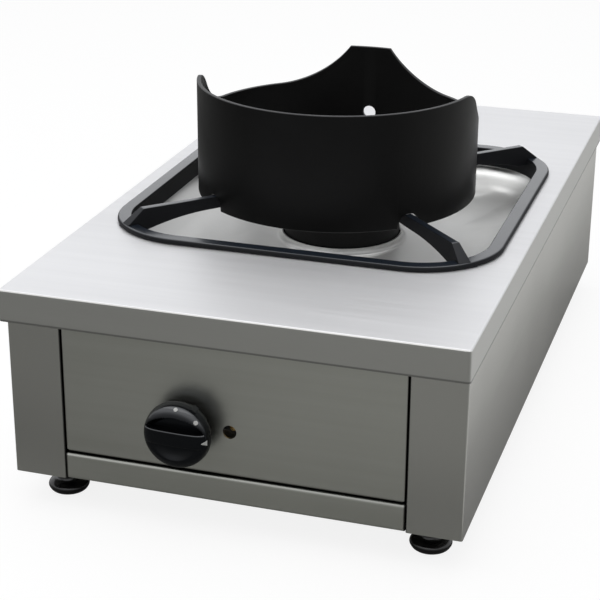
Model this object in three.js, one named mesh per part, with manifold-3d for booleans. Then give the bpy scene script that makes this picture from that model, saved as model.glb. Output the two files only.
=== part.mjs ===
// Table-top gas wok range with one burner: stainless casing, drawn burner well,
// loose pan support and wok ring, gas tap with knob, and screwed feet.
// Millimetres, +Z up, front towards -Y. Origin: middle of the footprint, on the worktop.
import * as THREE from "three";
import { mergeVertices } from "three/addons/utils/BufferGeometryUtils.js";
import Module from "manifold-3d";

const wasm = await Module();
wasm.setup();

// ---- driving dimensions -------------------------------------------------------------

// General
const seat = 0.3; // gap between pieces that rest on each other
const sheet = 1.5; // casing sheet
const bend = 2; // outer radius of a fold

// Casing
const plateWidth = 400;
const plateDepth = 689;
const lipHeight = 28; // folded-down edge of the top plate
const tableHeight = 202; // worktop to the top of the plate
const frontOverhang = 10; // top plate beyond the front face
const sideOverhang = 2.5;
const rearOverhang = 5;
const footHeight = 30; // worktop to the bottom of the casing
const postWidth = 47.5; // side sheet folded round the front
const postReturn = 12; // its inner fold, towards the back
const bottomFlange = 20; // inward fold along the bottom of a side
const jointGap = 1.6; // visible shadow gap between front pieces
const panelBottom = 56.5; // worktop to the lower edge of the control panel
const panelInset = 0.6; // control panel behind the face of the posts
const panelReturn = 12; // depth of the folds round the control panel
const railReturn = 16; // depth of the base rail's two folds
const railBend = 3.5;
const ventWidth = 5;
const ventLength = 46;
const ventPitch = 14;
const ventRows = 2;
const ventsPerRow = 7;
const ventTop = 168; // worktop to the top of the upper vents

// Pan support
const supportWidth = 361.5;
const supportDepth = 377;
const supportCorner = 78;
const barWidth = 13;
const barHeight = 5;
const barUnder = 1.5; // underside of the bar above the plate
const skirtInset = 8; // skirt's outer face inside the bar's outer edge
const skirtDrop = 14; // skirt's lower edge below the plate
const cornerPad = 24; // width of the pad under each corner
const cornerPadReach = 1.2; // pad beyond the bar's outer edge
const openingInset = 6.5; // edge of the plate's opening inside the bar's outer edge
const fingerThickness = 7;
const fingerRoot = 13; // thickness where the finger runs out onto the bar
const fingerTop = 18.5; // above the plate
const fingerUnder = 7; // lower edge above the plate, under the ring
const fingerTip = 68; // tip of a finger from the burner axis
const fingerFlare = 207; // where the finger starts to thicken
const fingerPeak = 210; // where the level top edge ends
const fingerKnee = 140; // where the lower edge starts to fall outwards
const fingerHeel = 205; // where it is lowest
const fingerDrop = 2; // lowest point below the plate

// Wok ring
const ringRadius = 133.5;
const ringWall = 4;
const ringHeight = 107.5;
const ringShift = -5.6; // the loose ring stands this far right of the burner axis
const ringTurn = 1.8; // and turned by this many degrees
const notchWidth = 23;
const hornWidth = 42; // flat top of the rear horn, along the wall
const scallopDepth = 36.3; // cut-outs either side of the rear horn
const scallopReach = 241; // from the middle of the horn to where the front rim starts
const hornFillet = 92; // concave edge up to the horn
const frontFillet = 55; // concave edge up to the front rim
const frontCrown = 33; // rounding into the front rim
const ventHoleRadius = 6.5;
const ventHoleHeight = 39.7; // above the ring's lower edge

// Burner well
const hobFromFront = 323.5; // burner axis behind the front face
const wellFlange = 12; // drawn well's rim under the plate
const wellDepth = 43; // plate to the well's floor
const wellUpright = 16; // plate to where the upright wall ends
const wellSlope = [
  [0.8, 0],
  [3.2, 0.15],
  [9, 0.33],
  [20, 0.53],
  [34, 0.7],
]; // inset from the mouth against the part of the slope's fall
const collarHeight = 7;
const collarGap = 1.2; // between the burner and the well's collar
const collarBend = 7;

// Burner
const burnerRadius = 56;
const burnerWall = 4;
const burnerTop = 3; // top of the crown above the plate
const crownHeight = 14;
const crownInner = 34;
const portCount = 20;
const portWidth = 3;
const portDepth = 4;
const capRadius = 27;
const capHeight = 9;
const neckRadius = 20;
const neckWall = 3;
const neckLength = 12;
const potDepth = 26; // below the well's floor
const burnerFlange = 12;
const burnerFlangeThickness = 4;
const studRadius = 3;
const studCount = 3;
const nutThickness = 5;
const elbowRadius = 34; // centre line of the burner's elbow
const venturiLength = 104;
const throatRadius = 11;
const mouthRadius = 19;
const shutterLength = 16;
const shutterSheet = 2;
const injectorLength = 26;
const injectorRadius = 6;
const injectorHex = 8;
const pilotAngle = 118; // degrees from +X, round the burner
const thermocoupleAngle = 134;
const pilotCircle = 76;
const pilotHeight = 40; // above the well's floor
const pilotRadius = 4;
const probeRadius = 3;
const probeFlange = 7;
const pilotPipeRadius = 2;
const thinPipeRun = 60; // from the tap to where the thin pipes turn to the burner
const leadRadius = 1.5;

// Gas tap and pipes
const knobFromCentre = -39.7;
const knobRise = 40.5 / 145.5; // knob axis above the panel's lower edge, as a share of its height
const tapFront = 20; // front of the tap's cover behind the front face
const tapBodyLength = 34;
const tapBodyRadius = 16;
const tapHeadLength = 20;
const tapHeadRadius = 10;
const plugLength = 24;
const plugFrontRadius = 11;
const plugRearRadius = 9;
const coverThickness = 3;
const spindleRadius = 4;
const spindleFlat = 2.6; // axis to the flat
const spindleRear = 16; // reach of the spindle into the plug
const knobPush = 4;
const manifoldDrop = 29; // tap axis to the manifold's axis
const manifoldRadius = 10.5;
const manifoldLength = 92;
const manifoldRight = 16; // right end beyond the middle
const saddleFromEnd = 16; // saddle's middle inside the manifold's left end
const testPointX = -0.6; // access hole beside the knob
const testHoleRadius = 6;
const testPointSetback = 8;
const supplyFromCentre = -112;
const supplyRadius = 8;
const supplyBend = 20;
const inletRadius = 10.5;
const inletReach = 15; // behind the rear panel
const inletHex = 14;
const feedRadius = 5;

// Knob
const knobRadius = 28.6;
const knobBack = 6.5; // back of the skirt in front of the panel
const skirtDepth = 10;
const skirtTaper = 3.2; // narrower at the back
const shoulderDepth = 7.4; // sloping band that carries the marks
const shoulderWidth = 2.7;
const scoopRadius = 22; // rim of the two finger scoops
const scoopRimDepth = 2.2; // rim in front of the shoulder
const scoopDepth = 6.5;
const crownDepth = 4.2; // middle of the grip bar in front of the shoulder
const gripHalf = 6.3; // half the bar's width at its front
const gripTaper = 1.2;
const knobWall = 2.5;
const hubRadius = 8;
const hubDepth = 14;
const nibAngle = 31; // small nib on the skirt, degrees clockwise from the top
const nibWidth = 3.4;

// Feet
const footFromSide = 33.2; // foot axis inside the side panel's face
const footFromEnd = 34; // foot axis inside the front and rear faces
const padRadius = 18;
const padBase = 10; // radius of the flat underside
const padWidest = 7; // height where the pad is widest
const padNeck = 9;
const padSocket = 9; // height of the bottom of the stud's socket
const footStudRadius = 5;
const footStudLength = 52;
const lockNutThickness = 6;
const lockNutRadius = 9;
const footRailWidth = 44;
const footRailHeight = 16;

// ---- derived places -----------------------------------------------------------------

const bodyWidth = plateWidth - 2 * sideOverhang;
const bodyDepth = plateDepth - frontOverhang - rearOverhang;
const halfBody = bodyWidth / 2;
const plateTop = tableHeight;
const plateUnder = plateTop - sheet;
const casingTop = plateUnder - seat;
const postEdge = halfBody - postWidth; // inner edge of a front post
const panelHalf = postEdge - jointGap / 2;
const knobZ = panelBottom + knobRise * (plateTop - panelBottom);
const openingX = supportWidth / 2 - openingInset;
const openingY = supportDepth / 2 - openingInset;
const openingCorner = supportCorner - openingInset;
const cornerX = supportWidth / 2 - supportCorner; // centre of a corner's arc
const cornerY = supportDepth / 2 - supportCorner;
const fingerAngles = [1, -1].flatMap((right) =>
  [1, -1].map((back) => Math.atan2(back * supportDepth, right * supportWidth)),
);
const wellFloor = plateTop - wellDepth;
const wellUnder = wellFloor - sheet;
const collarRadius = burnerRadius + collarGap;
const burnerFlangeTop = wellUnder - seat;
const potBottom = wellFloor - potDepth;
const neckBottom = potBottom - neckLength;
const crownTop = plateTop + burnerTop;
const crownBottom = crownTop - crownHeight;
const venturiZ = neckBottom - seat - elbowRadius;
const venturiRear = hobFromFront - elbowRadius - seat;
const venturiFront = venturiRear - venturiLength;
const manifoldZ = knobZ - manifoldDrop;
const tapRear = tapFront + tapBodyLength;
const manifoldY = tapFront + tapBodyLength / 2;
const footRailBottom = footHeight + sheet + seat;
const footRailTop = footRailBottom + sheet;
const rearFace = bodyDepth;
const footFromCentre = halfBody - footFromSide;
const footFromFront = footFromEnd;
const rearFootFromFront = rearFace - footFromEnd;
const knobFront = -(knobBack - panelInset + skirtDepth + shoulderDepth + crownDepth);
const inletEnd = rearFace + inletReach;

// ---- materials ----------------------------------------------------------------------

function finish(color, roughness, metalness) {
  return new THREE.MeshStandardMaterial({ color, roughness, metalness });
}
const finishes = {
  steel: () => finish(0xb4b5b0, 0.38, 0.9),
  drawnSteel: () => finish(0xc4c5c0, 0.28, 0.95),
  enamel: () => finish(0x24262a, 0.45, 0.1),
  blackSteel: () => finish(0x121212, 0.7, 0.2),
  castIron: () => finish(0x1c1c1c, 0.75, 0.2),
  brass: () => finish(0xb08a4a, 0.35, 0.9),
  plated: () => finish(0x9a9c9c, 0.4, 0.9),
  plastic: () => finish(0x0c0c0d, 0.25, 0),
  copper: () => finish(0xa5663f, 0.4, 0.9),
};

// ---- geometry helpers ---------------------------------------------------------------

// A geometry with shared vertices and only positions, its faces pointing out.
function closed(geometry) {
  const plain = geometry.index ? geometry.toNonIndexed() : geometry.clone();
  for (const name of Object.keys(plain.attributes))
    if (name !== "position") plain.deleteAttribute(name);
  const merged = mergeVertices(plain, 1e-4);
  const faces = [];
  const from = merged.index.array;
  for (let i = 0; i < from.length; i += 3) {
    const [a, b, c] = from.slice(i, i + 3);
    if (a !== b && b !== c && c !== a) faces.push(a, b, c);
  }
  merged.setIndex(faces);
  if (signedVolume(merged) < 0) merged.setIndex(faces.reverse());
  return merged;
}

function signedVolume(geometry) {
  const at = geometry.attributes.position;
  const corner = [new THREE.Vector3(), new THREE.Vector3(), new THREE.Vector3()];
  let sum = 0;
  for (let i = 0; i < geometry.index.count; i += 3) {
    corner.forEach((c, k) => c.fromBufferAttribute(at, geometry.index.getX(i + k)));
    sum += corner[0].dot(corner[1].clone().cross(corner[2]));
  }
  return sum / 6;
}

function solid(geometry) {
  const merged = closed(geometry);
  return new wasm.Manifold(
    new wasm.Mesh({
      numProp: 3,
      vertProperties: new Float32Array(merged.attributes.position.array),
      triVerts: new Uint32Array(merged.index.array),
    }),
  );
}

function geometryOf(manifold) {
  const mesh = manifold.getMesh();
  return new THREE.BufferGeometry()
    .setAttribute("position", new THREE.BufferAttribute(mesh.vertProperties, 3))
    .setIndex(new THREE.BufferAttribute(mesh.triVerts, 1));
}

const join = (...parts) => geometryOf(parts.map(solid).reduce((a, b) => a.add(b)));
const cut = (body, ...tools) =>
  geometryOf(tools.map(solid).reduce((a, b) => a.subtract(b), solid(body)));
const common = (a, b) => geometryOf(solid(a).intersect(solid(b)));

function block([x0, x1], [y0, y1], [z0, z1]) {
  return new THREE.BoxGeometry(x1 - x0, y1 - y0, z1 - z0).translate(
    (x0 + x1) / 2,
    (y0 + y1) / 2,
    (z0 + z1) / 2,
  );
}

// Revolved profile of [radius, height] pairs about +Z.
function turned(profile, sides = 32) {
  const points = profile.map(([r, z]) => new THREE.Vector2(r, z));
  return new THREE.LatheGeometry(points, sides).rotateX(Math.PI / 2);
}

// The same about +Y: pairs are [radius, place along Y].
function turnedAlongY(profile, sides = 32) {
  const points = profile.map(([r, y]) => new THREE.Vector2(r, y));
  return new THREE.LatheGeometry(points, sides);
}

function rod(radius, y0, y1, sides = 20) {
  return new THREE.CylinderGeometry(radius, radius, y1 - y0, sides).translate(0, (y0 + y1) / 2, 0);
}

function post(radius, z0, z1, sides = 20) {
  return rod(radius, z0, z1, sides).rotateX(Math.PI / 2);
}

function hexagon(acrossFlats) {
  const shape = new THREE.Shape();
  const radius = acrossFlats / Math.sqrt(3);
  for (let k = 0; k < 6; k++)
    shape[k ? "lineTo" : "moveTo"](
      radius * Math.cos((k * Math.PI) / 3),
      radius * Math.sin((k * Math.PI) / 3),
    );
  shape.closePath();
  return shape;
}

function circle(radius) {
  return new THREE.Path().absarc(0, 0, radius, 0, 2 * Math.PI, false);
}

// Flat outline pushed up from z0 to z1.
function plate(shape, z0, z1, curveSegments = 8) {
  return new THREE.ExtrudeGeometry(shape, {
    depth: z1 - z0,
    bevelEnabled: false,
    curveSegments,
  }).translate(0, 0, z0);
}

// Outline in X and Z pushed along Y from y0 to y1.
function along(shape, y0, y1, curveSegments = 8) {
  return plate(shape, -y1, -y0, curveSegments).rotateX(Math.PI / 2);
}

function roundedBox(halfX, halfY, radius, Target = THREE.Shape) {
  const outline = new Target();
  const turns = [
    [halfX - radius, radius - halfY],
    [halfX - radius, halfY - radius],
    [radius - halfX, halfY - radius],
    [radius - halfX, radius - halfY],
  ];
  turns.forEach(([x, y], k) =>
    outline.absarc(x, y, radius, ((k - 1) * Math.PI) / 2, (k * Math.PI) / 2, false),
  );
  outline.closePath();
  return outline;
}

// Points round a rounded rectangle, the same number whatever its size, so sections can be joined.
function roundedLoop(halfX, halfY, radius, z, perCorner = 7) {
  const points = [];
  for (let k = 0; k < 4; k++) {
    const x = (k === 0 || k === 3 ? 1 : -1) * (halfX - radius);
    const y = (k < 2 ? 1 : -1) * (halfY - radius);
    for (let i = 0; i <= perCorner; i++) {
      const a = ((k + i / perCorner) * Math.PI) / 2;
      points.push([x + radius * Math.cos(a), y + radius * Math.sin(a), z]);
    }
  }
  return points;
}

// Skin through closed sections. Joined last to first it is a wall with no open edge.
function loft(sections, joinEnds = true) {
  const count = sections[0].length;
  const index = [];
  sections.forEach((_, s) => {
    if (!joinEnds && s === sections.length - 1) return;
    const next = ((s + 1) % sections.length) * count;
    for (let i = 0; i < count; i++) {
      const j = (i + 1) % count;
      index.push(s * count + i, s * count + j, next + i, s * count + j, next + j, next + i);
    }
  });
  return new THREE.BufferGeometry()
    .setAttribute("position", new THREE.Float32BufferAttribute(sections.flat(2), 3))
    .setIndex(index);
}

// Outline of folded sheet: a line of straight runs, given thickness and rounded folds.
// The outer radius of every fold is outerRadius; the sheet lies to the right of the line.
function foldedSheet(line, thickness, outerRadius) {
  const shape = new THREE.Shape();
  const points = line.map(([x, y]) => new THREE.Vector2(x, y));
  const side = (i) => {
    const run = points[i + 1].clone().sub(points[i]).normalize();
    return new THREE.Vector2(run.y, -run.x).multiplyScalar(thickness);
  };
  const inner = points.map((p, i) => {
    if (i === 0) return p.clone().add(side(0));
    if (i === points.length - 1) return p.clone().add(side(i - 1));
    return p.clone().add(side(i - 1)).add(side(i));
  });
  const round = (outline, previous, corner, following, radius) => {
    const from = previous.clone().sub(corner).normalize().multiplyScalar(radius);
    const to = following.clone().sub(corner).normalize().multiplyScalar(radius);
    outline.lineTo(corner.x + from.x, corner.y + from.y);
    outline.quadraticCurveTo(corner.x, corner.y, corner.x + to.x, corner.y + to.y);
  };
  const foldSign = (i) => {
    const a = points[i].clone().sub(points[i - 1]);
    const b = points[i + 1].clone().sub(points[i]);
    return Math.sign(a.cross(b));
  };
  const last = points.length - 1;
  shape.moveTo(points[0].x, points[0].y);
  for (let i = 1; i < last; i++) {
    const radius = foldSign(i) < 0 ? outerRadius : outerRadius - thickness;
    round(shape, points[i - 1], points[i], points[i + 1], radius);
  }
  shape.lineTo(points[last].x, points[last].y);
  shape.lineTo(inner[last].x, inner[last].y);
  for (let i = last - 1; i > 0; i--) {
    const radius = foldSign(i) < 0 ? outerRadius - thickness : outerRadius;
    round(shape, inner[i + 1], inner[i], inner[i - 1], radius);
  }
  shape.lineTo(inner[0].x, inner[0].y);
  shape.closePath();
  return shape;
}

// Round bar or tube along straight runs with bends between them.
function pipe(stops, bendRadius, radius, bore = 0, sides = 10, bendSteps = 5) {
  const points = stops.map((p) => new THREE.Vector3(...p));
  const heading = (i) => points[i + 1].clone().sub(points[i]).normalize();
  const line = [{ p: points[0], along: heading(0) }];
  for (let i = 1; i < points.length - 1; i++) {
    const back = points[i - 1].clone().sub(points[i]).normalize();
    const on = points[i + 1].clone().sub(points[i]).normalize();
    const half = back.angleTo(on) / 2;
    const centre = back.clone().add(on).setLength(bendRadius / Math.sin(half)).add(points[i]);
    const start = back.clone().setLength(bendRadius / Math.tan(half)).add(points[i]).sub(centre);
    const axis = back.clone().cross(on).normalize();
    for (let k = 0; k <= bendSteps; k++) {
      const turn = ((Math.PI - 2 * half) * -k) / bendSteps;
      line.push({
        p: start.clone().applyAxisAngle(axis, turn).add(centre),
        along: back.clone().negate().applyAxisAngle(axis, turn),
      });
    }
  }
  line.push({ p: points.at(-1), along: heading(points.length - 2) });
  let across = new THREE.Vector3(0, 0, 1);
  if (Math.abs(heading(0).z) > 0.9) across = new THREE.Vector3(1, 0, 0);
  const frames = line.map(({ p, along }) => {
    across = across.clone().addScaledVector(along, -across.dot(along)).normalize();
    return { p, across, up: along.clone().cross(across) };
  });
  const ringAt = ({ p, across, up }, r) =>
    Array.from({ length: sides }, (_, k) => {
      const a = (2 * Math.PI * k) / sides;
      return p
        .clone()
        .addScaledVector(across, r * Math.cos(a))
        .addScaledVector(up, r * Math.sin(a))
        .toArray();
    });
  const outer = frames.map((f) => ringAt(f, radius));
  if (bore) return loft([...outer, ...frames.map((f) => ringAt(f, bore)).reverse()]);
  return loft([ringAt(frames[0], 0), ...outer, ringAt(frames.at(-1), 0)], false);
}

const range = new THREE.Group();
const model = new THREE.Group();
model.position.y = -(knobFront + inletEnd) / 2;
range.add(model);

function piece(name, geometry, material, parent = model) {
  const flat = closed(geometry).toNonIndexed();
  flat.computeVertexNormals();
  const mesh = new THREE.Mesh(flat, material);
  mesh.name = name;
  parent.add(mesh);
  return mesh;
}

const hob = new THREE.Group(); // everything round the burner axis
hob.position.y = hobFromFront;
model.add(hob);

// ---- casing -------------------------------------------------------------------------

function topPlate() {
  const centreY = plateDepth / 2 - frontOverhang;
  const flat = roundedBox(plateWidth / 2 - bend, plateDepth / 2 - bend, bend / 2);
  const shell = new THREE.ExtrudeGeometry(flat, {
    depth: lipHeight - bend,
    bevelThickness: bend,
    bevelSize: bend,
    bevelSegments: 3,
    curveSegments: 2,
  }).translate(0, centreY, plateTop - lipHeight);
  const inner = roundedBox(plateWidth / 2 - sheet, plateDepth / 2 - sheet, bend / 4);
  const hollow = plate(inner, plateTop - lipHeight - 2 * bend, plateUnder, 2);
  const bottom = block(
    [-plateWidth, plateWidth],
    [-plateDepth, plateDepth],
    [plateTop - lipHeight - 2 * bend, plateTop - lipHeight],
  );
  const opening = plate(
    roundedBox(openingX, openingY, openingCorner),
    plateUnder - bend,
    plateTop + bend,
  );
  return cut(
    shell,
    hollow.translate(0, centreY, 0),
    bottom.translate(0, centreY, 0),
    opening.translate(0, hobFromFront, 0),
  );
}

// One side: wall, post round the front with its inner fold, and folds at the back and bottom.
function sidePanel(side) {
  const line = [
    [postEdge, postReturn],
    [postEdge, 0],
    [halfBody, 0],
    [halfBody, rearFace - sheet - seat],
    [halfBody - bottomFlange, rearFace - sheet - seat],
  ];
  const outline = foldedSheet(line.map(([x, y]) => [-x, y]), sheet, bend);
  const wall = plate(outline, footHeight, casingTop, 3);
  const floor = block(
    [-halfBody + sheet / 2, -halfBody + bottomFlange],
    [postReturn, rearFace - 2 * sheet - seat],
    [footHeight, footHeight + sheet],
  );
  const panel = join(wall, floor);
  if (side > 0) panel.scale(-1, 1, 1);
  return closed(panel);
}

function controlPanel() {
  const top = casingTop - seat;
  const shape = roundedBox(panelHalf - bend, (top - panelBottom) / 2 - bend, bend / 2);
  const height = (top + panelBottom) / 2;
  const shell = new THREE.ExtrudeGeometry(shape, {
    depth: panelReturn,
    bevelThickness: bend,
    bevelSize: bend,
    bevelSegments: 2,
    curveSegments: 2,
  })
    .rotateX(Math.PI / 2)
    .translate(0, panelInset + bend + panelReturn, height);
  const behind = [panelInset + sheet, panelInset + 2 * panelReturn];
  const hollow = block(
    [-panelHalf + sheet, panelHalf - sheet],
    behind,
    [panelBottom + sheet, top - sheet],
  );
  const ends = block(
    [-plateWidth, plateWidth],
    [panelInset + panelReturn, panelInset + 3 * panelReturn],
    [0, plateTop],
  );
  const spindleHole = rod(spindleRadius + 2, -bend, panelReturn).translate(knobFromCentre, 0, knobZ);
  const testHole = rod(testHoleRadius, -bend, panelReturn, 24).translate(testPointX, 0, knobZ);
  return cut(shell, hollow, ends, spindleHole, testHole);
}

function baseRail() {
  const top = panelBottom - jointGap;
  const line = [
    [railReturn, footHeight],
    [0, footHeight],
    [0, top],
    [railReturn, top],
  ];
  const section = foldedSheet(line, sheet, railBend);
  return new THREE.ExtrudeGeometry(section, {
    depth: 2 * panelHalf,
    bevelEnabled: false,
    curveSegments: 4,
  }).applyMatrix4(
    new THREE.Matrix4().set(0, 0, 1, -panelHalf, 1, 0, 0, 0, 0, 1, 0, 0, 0, 0, 0, 1),
  );
}

function rearPanel() {
  const shape = new THREE.Shape();
  const edge = halfBody - bend;
  shape.moveTo(-edge, footHeight);
  shape.lineTo(edge, footHeight);
  shape.lineTo(edge, casingTop);
  shape.lineTo(-edge, casingTop);
  shape.closePath();
  for (let row = 0; row < ventRows; row++)
    for (let i = 0; i < ventsPerRow; i++) {
      const x = (i - (ventsPerRow - 1) / 2) * ventPitch;
      const z = ventTop - ventLength / 2 - row * (ventLength + ventPitch);
      const slot = new THREE.Path();
      const reach = (ventLength - ventWidth) / 2;
      slot.absarc(x, z + reach, ventWidth / 2, 0, Math.PI, false);
      slot.absarc(x, z - reach, ventWidth / 2, Math.PI, 2 * Math.PI, false);
      slot.closePath();
      shape.holes.push(slot);
    }
  const inlet = rod(inletRadius + 1, rearFace - 2 * sheet, rearFace + sheet, 24);
  return cut(
    along(shape, rearFace - sheet, rearFace, 3),
    inlet.translate(supplyFromCentre, 0, manifoldZ),
  );
}

// Channel across the casing that carries two feet.
function footRail() {
  const half = footRailWidth / 2;
  const line = [
    [-half, footRailBottom + footRailHeight],
    [-half, footRailBottom],
    [half, footRailBottom],
    [half, footRailBottom + footRailHeight],
  ];
  const reach = halfBody - sheet - seat;
  const section = foldedSheet(line.reverse(), sheet, bend);
  const channel = new THREE.ExtrudeGeometry(section, {
    depth: 2 * reach,
    bevelEnabled: false,
    curveSegments: 3,
  }).applyMatrix4(
    new THREE.Matrix4().set(0, 0, 1, -reach, 1, 0, 0, 0, 0, 1, 0, 0, 0, 0, 0, 1),
  );
  const holes = [-1, 1].map((side) =>
    post(footStudRadius + seat, 0, footRailTop + sheet).translate(side * footFromCentre, 0, 0),
  );
  return cut(channel, ...holes);
}

piece("top_plate", topPlate(), finishes.steel());
piece("left_side_panel", sidePanel(-1), finishes.steel());
piece("right_side_panel", sidePanel(1), finishes.steel());
piece("control_panel", controlPanel(), finishes.steel());
piece("base_rail", baseRail(), finishes.steel());
piece("rear_panel", rearPanel(), finishes.steel());
piece("front_foot_rail", footRail().translate(0, footFromFront, 0), finishes.plated());
piece("rear_foot_rail", footRail().translate(0, rearFootFromFront, 0), finishes.plated());

// ---- burner well --------------------------------------------------------------------

// Drawn pan: a rounded-square mouth that runs down and blends into a round floor and collar.
function burnerWell() {
  const rim = plateUnder - seat;
  const wallEnd = plateTop - wellUpright;
  const mouth = (inset, z) => ({
    x: openingX - inset,
    y: openingY - inset,
    corner: openingCorner - inset * (inset > 0 ? 0.5 : 1),
    z,
  });
  const round = (radius, z) => ({ x: radius, y: radius, corner: radius, z });
  const between = (a, b, t, z) => ({
    x: a.x + (b.x - a.x) * t,
    y: a.y + (b.y - a.y) * t,
    corner: a.corner + (b.corner - a.corner) * t,
    z,
  });
  const fall = wallEnd - wellFloor;
  const slope = wellSlope.map(([inset, part]) => mouth(inset, wallEnd - fall * part));
  const shoulder = slope.at(-1);
  const floorEdge = round(collarRadius + 3.4 * collarBend, wellFloor);
  const upper = [
    mouth(-wellFlange, rim),
    mouth(0, rim),
    ...slope,
    between(shoulder, floorEdge, 0.35, wellFloor + fall * 0.13),
    between(shoulder, floorEdge, 0.7, wellFloor + fall * 0.04),
    floorEdge,
    round(collarRadius + collarBend, wellFloor),
    round(collarRadius + sheet + collarBend * 0.2, wellFloor + collarBend * 0.35),
    round(collarRadius + sheet, wellFloor + collarHeight),
  ];
  const lower = upper.map((s, k) => {
    const before = upper[Math.max(k - 1, 0)];
    const after = upper[Math.min(k + 1, upper.length - 1)];
    const run = after.x - before.x;
    const drop = after.z - before.z;
    const out = (-sheet * drop) / Math.hypot(run, drop);
    const down = (sheet * run) / Math.hypot(run, drop);
    return { x: s.x + out, y: s.y + out, corner: s.corner + out, z: s.z + down };
  });
  const profile = [...upper, ...lower.reverse()];
  const pan = loft(profile.map((s) => roundedLoop(s.x, s.y, s.corner, s.z, 6)));
  const studEnd = burnerFlangeTop - burnerFlangeThickness - nutThickness - 3;
  const studs = studPlaces().map(([x, y]) =>
    post(studRadius, studEnd, wellFloor - 0.5, 12).translate(x, y, 0),
  );
  const passages = [pilotAngle, thermocoupleAngle].map((angle) => {
    const [x, y] = round2(pilotCircle, angle);
    return post(pilotRadius + 1.5, wellUnder - 5, wellFloor + 5, 16).translate(x, y, 0);
  });
  return cut(join(pan, ...studs), ...passages);
}

function round2(radius, degrees) {
  const a = THREE.MathUtils.degToRad(degrees);
  return [radius * Math.cos(a), radius * Math.sin(a)];
}

function studPlaces() {
  return Array.from({ length: studCount }, (_, k) =>
    round2(burnerRadius + burnerFlange / 2 + 1, (360 * k) / studCount - 90),
  );
}

piece("burner_well", burnerWell(), finishes.drawnSteel(), hob);

// ---- pan support and wok ring -------------------------------------------------------

// Rounded frame between two insets from the support's outer edge.
function supportBand(outerInset, innerInset) {
  const outline = (inset, Target) =>
    roundedBox(supportWidth / 2 - inset, supportDepth / 2 - inset, supportCorner - inset, Target);
  const band = outline(outerInset, THREE.Shape);
  band.holes.push(outline(innerInset, THREE.Path));
  return band;
}

function panSupport() {
  const edge = 1; // broken edge of the bar
  const bar = new THREE.ExtrudeGeometry(supportBand(edge, barWidth - edge), {
    depth: barHeight - barUnder - 2 * edge,
    bevelThickness: edge,
    bevelSize: edge,
    bevelSegments: 1,
    curveSegments: 8,
  }).translate(0, 0, plateTop + barUnder + edge);
  const skirt = plate(
    supportBand(skirtInset, barWidth - edge / 4),
    plateTop - skirtDrop,
    plateTop + barUnder + edge,
  );
  const barOuter = Math.hypot(cornerX, cornerY) + supportCorner;
  const barInner = barOuter - barWidth;
  const side = new THREE.Shape();
  side.moveTo(fingerTip, fingerUnder + 2);
  side.lineTo(fingerTip, fingerTop - 2);
  side.lineTo(fingerTip + 3, fingerTop);
  side.lineTo(fingerPeak, fingerTop);
  side.lineTo(barOuter - edge, barHeight - 0.2);
  side.lineTo(barOuter - edge, barUnder + edge);
  side.lineTo(barInner + 2 * edge, barUnder + edge);
  side.lineTo(barInner + 2 * edge, -fingerDrop);
  side.lineTo(fingerHeel, -fingerDrop);
  side.quadraticCurveTo((fingerHeel + fingerKnee) / 2, fingerUnder, fingerKnee, fingerUnder);
  side.closePath();
  const web = along(side, -fingerRoot, fingerRoot, 6);
  const plan = new THREE.Shape();
  plan.moveTo(0, -fingerThickness / 2);
  plan.lineTo(fingerFlare, -fingerThickness / 2);
  plan.lineTo(barOuter, -fingerRoot / 2);
  plan.lineTo(barOuter, fingerRoot / 2);
  plan.lineTo(fingerFlare, fingerThickness / 2);
  plan.lineTo(0, fingerThickness / 2);
  plan.closePath();
  const finger = common(web, plate(plan, -2 * barHeight, fingerTop + 1));
  const pad = block(
    [barOuter - barWidth / 2, barOuter + cornerPadReach],
    [-cornerPad / 2, cornerPad / 2],
    [seat, barUnder + edge],
  );
  const arms = fingerAngles.flatMap((angle) =>
    [finger, pad].map((arm) => arm.clone().rotateZ(angle).translate(0, 0, plateTop)),
  );
  return join(bar, skirt, ...arms);
}

// Height of the ring's rim above its lower edge, at a distance along the wall from the horn's middle.
function rimHeight(reach) {
  const low = ringHeight - scallopDepth;
  const fromHorn = reach - hornWidth / 2;
  const beforeFront = scallopReach - reach;
  if (fromHorn <= 0 || beforeFront <= 0) return ringHeight;
  const hornRun = Math.sqrt(2 * hornFillet * scallopDepth - scallopDepth ** 2);
  const turn = Math.acos(1 - scallopDepth / (frontFillet + frontCrown));
  const crownRun = frontCrown * Math.sin(turn);
  const filletRun = frontFillet * Math.sin(turn);
  if (fromHorn < hornRun)
    return low + hornFillet - Math.sqrt(hornFillet ** 2 - (hornRun - fromHorn) ** 2);
  if (beforeFront < crownRun)
    return ringHeight - frontCrown + Math.sqrt(frontCrown ** 2 - (crownRun - (crownRun - beforeFront)) ** 2);
  if (beforeFront < crownRun + filletRun)
    return low + frontFillet - Math.sqrt(frontFillet ** 2 - (crownRun + filletRun - beforeFront) ** 2);
  return low;
}

function ringSeat() {
  const reach = fingerThickness / 2;
  const arch = notchWidth / 2;
  return arch - Math.sqrt(arch ** 2 - reach ** 2); // arch's fall where it meets the finger's edge
}

// Where a finger passes through the wall of the ring as it stands, as an angle on the ring.
function notchAngle(angle) {
  const radius = ringRadius - ringWall / 2;
  const along = ringShift * Math.cos(angle);
  const reach = along + Math.sqrt(along ** 2 + radius ** 2 - ringShift ** 2);
  const x = reach * Math.cos(angle) - ringShift;
  return Math.atan2(reach * Math.sin(angle), x) - THREE.MathUtils.degToRad(ringTurn);
}

const notchTop = fingerTop + seat + ringSeat(); // above the plate
const notchHeight = 13.3;
const ringBottom = notchTop - notchHeight;

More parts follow.
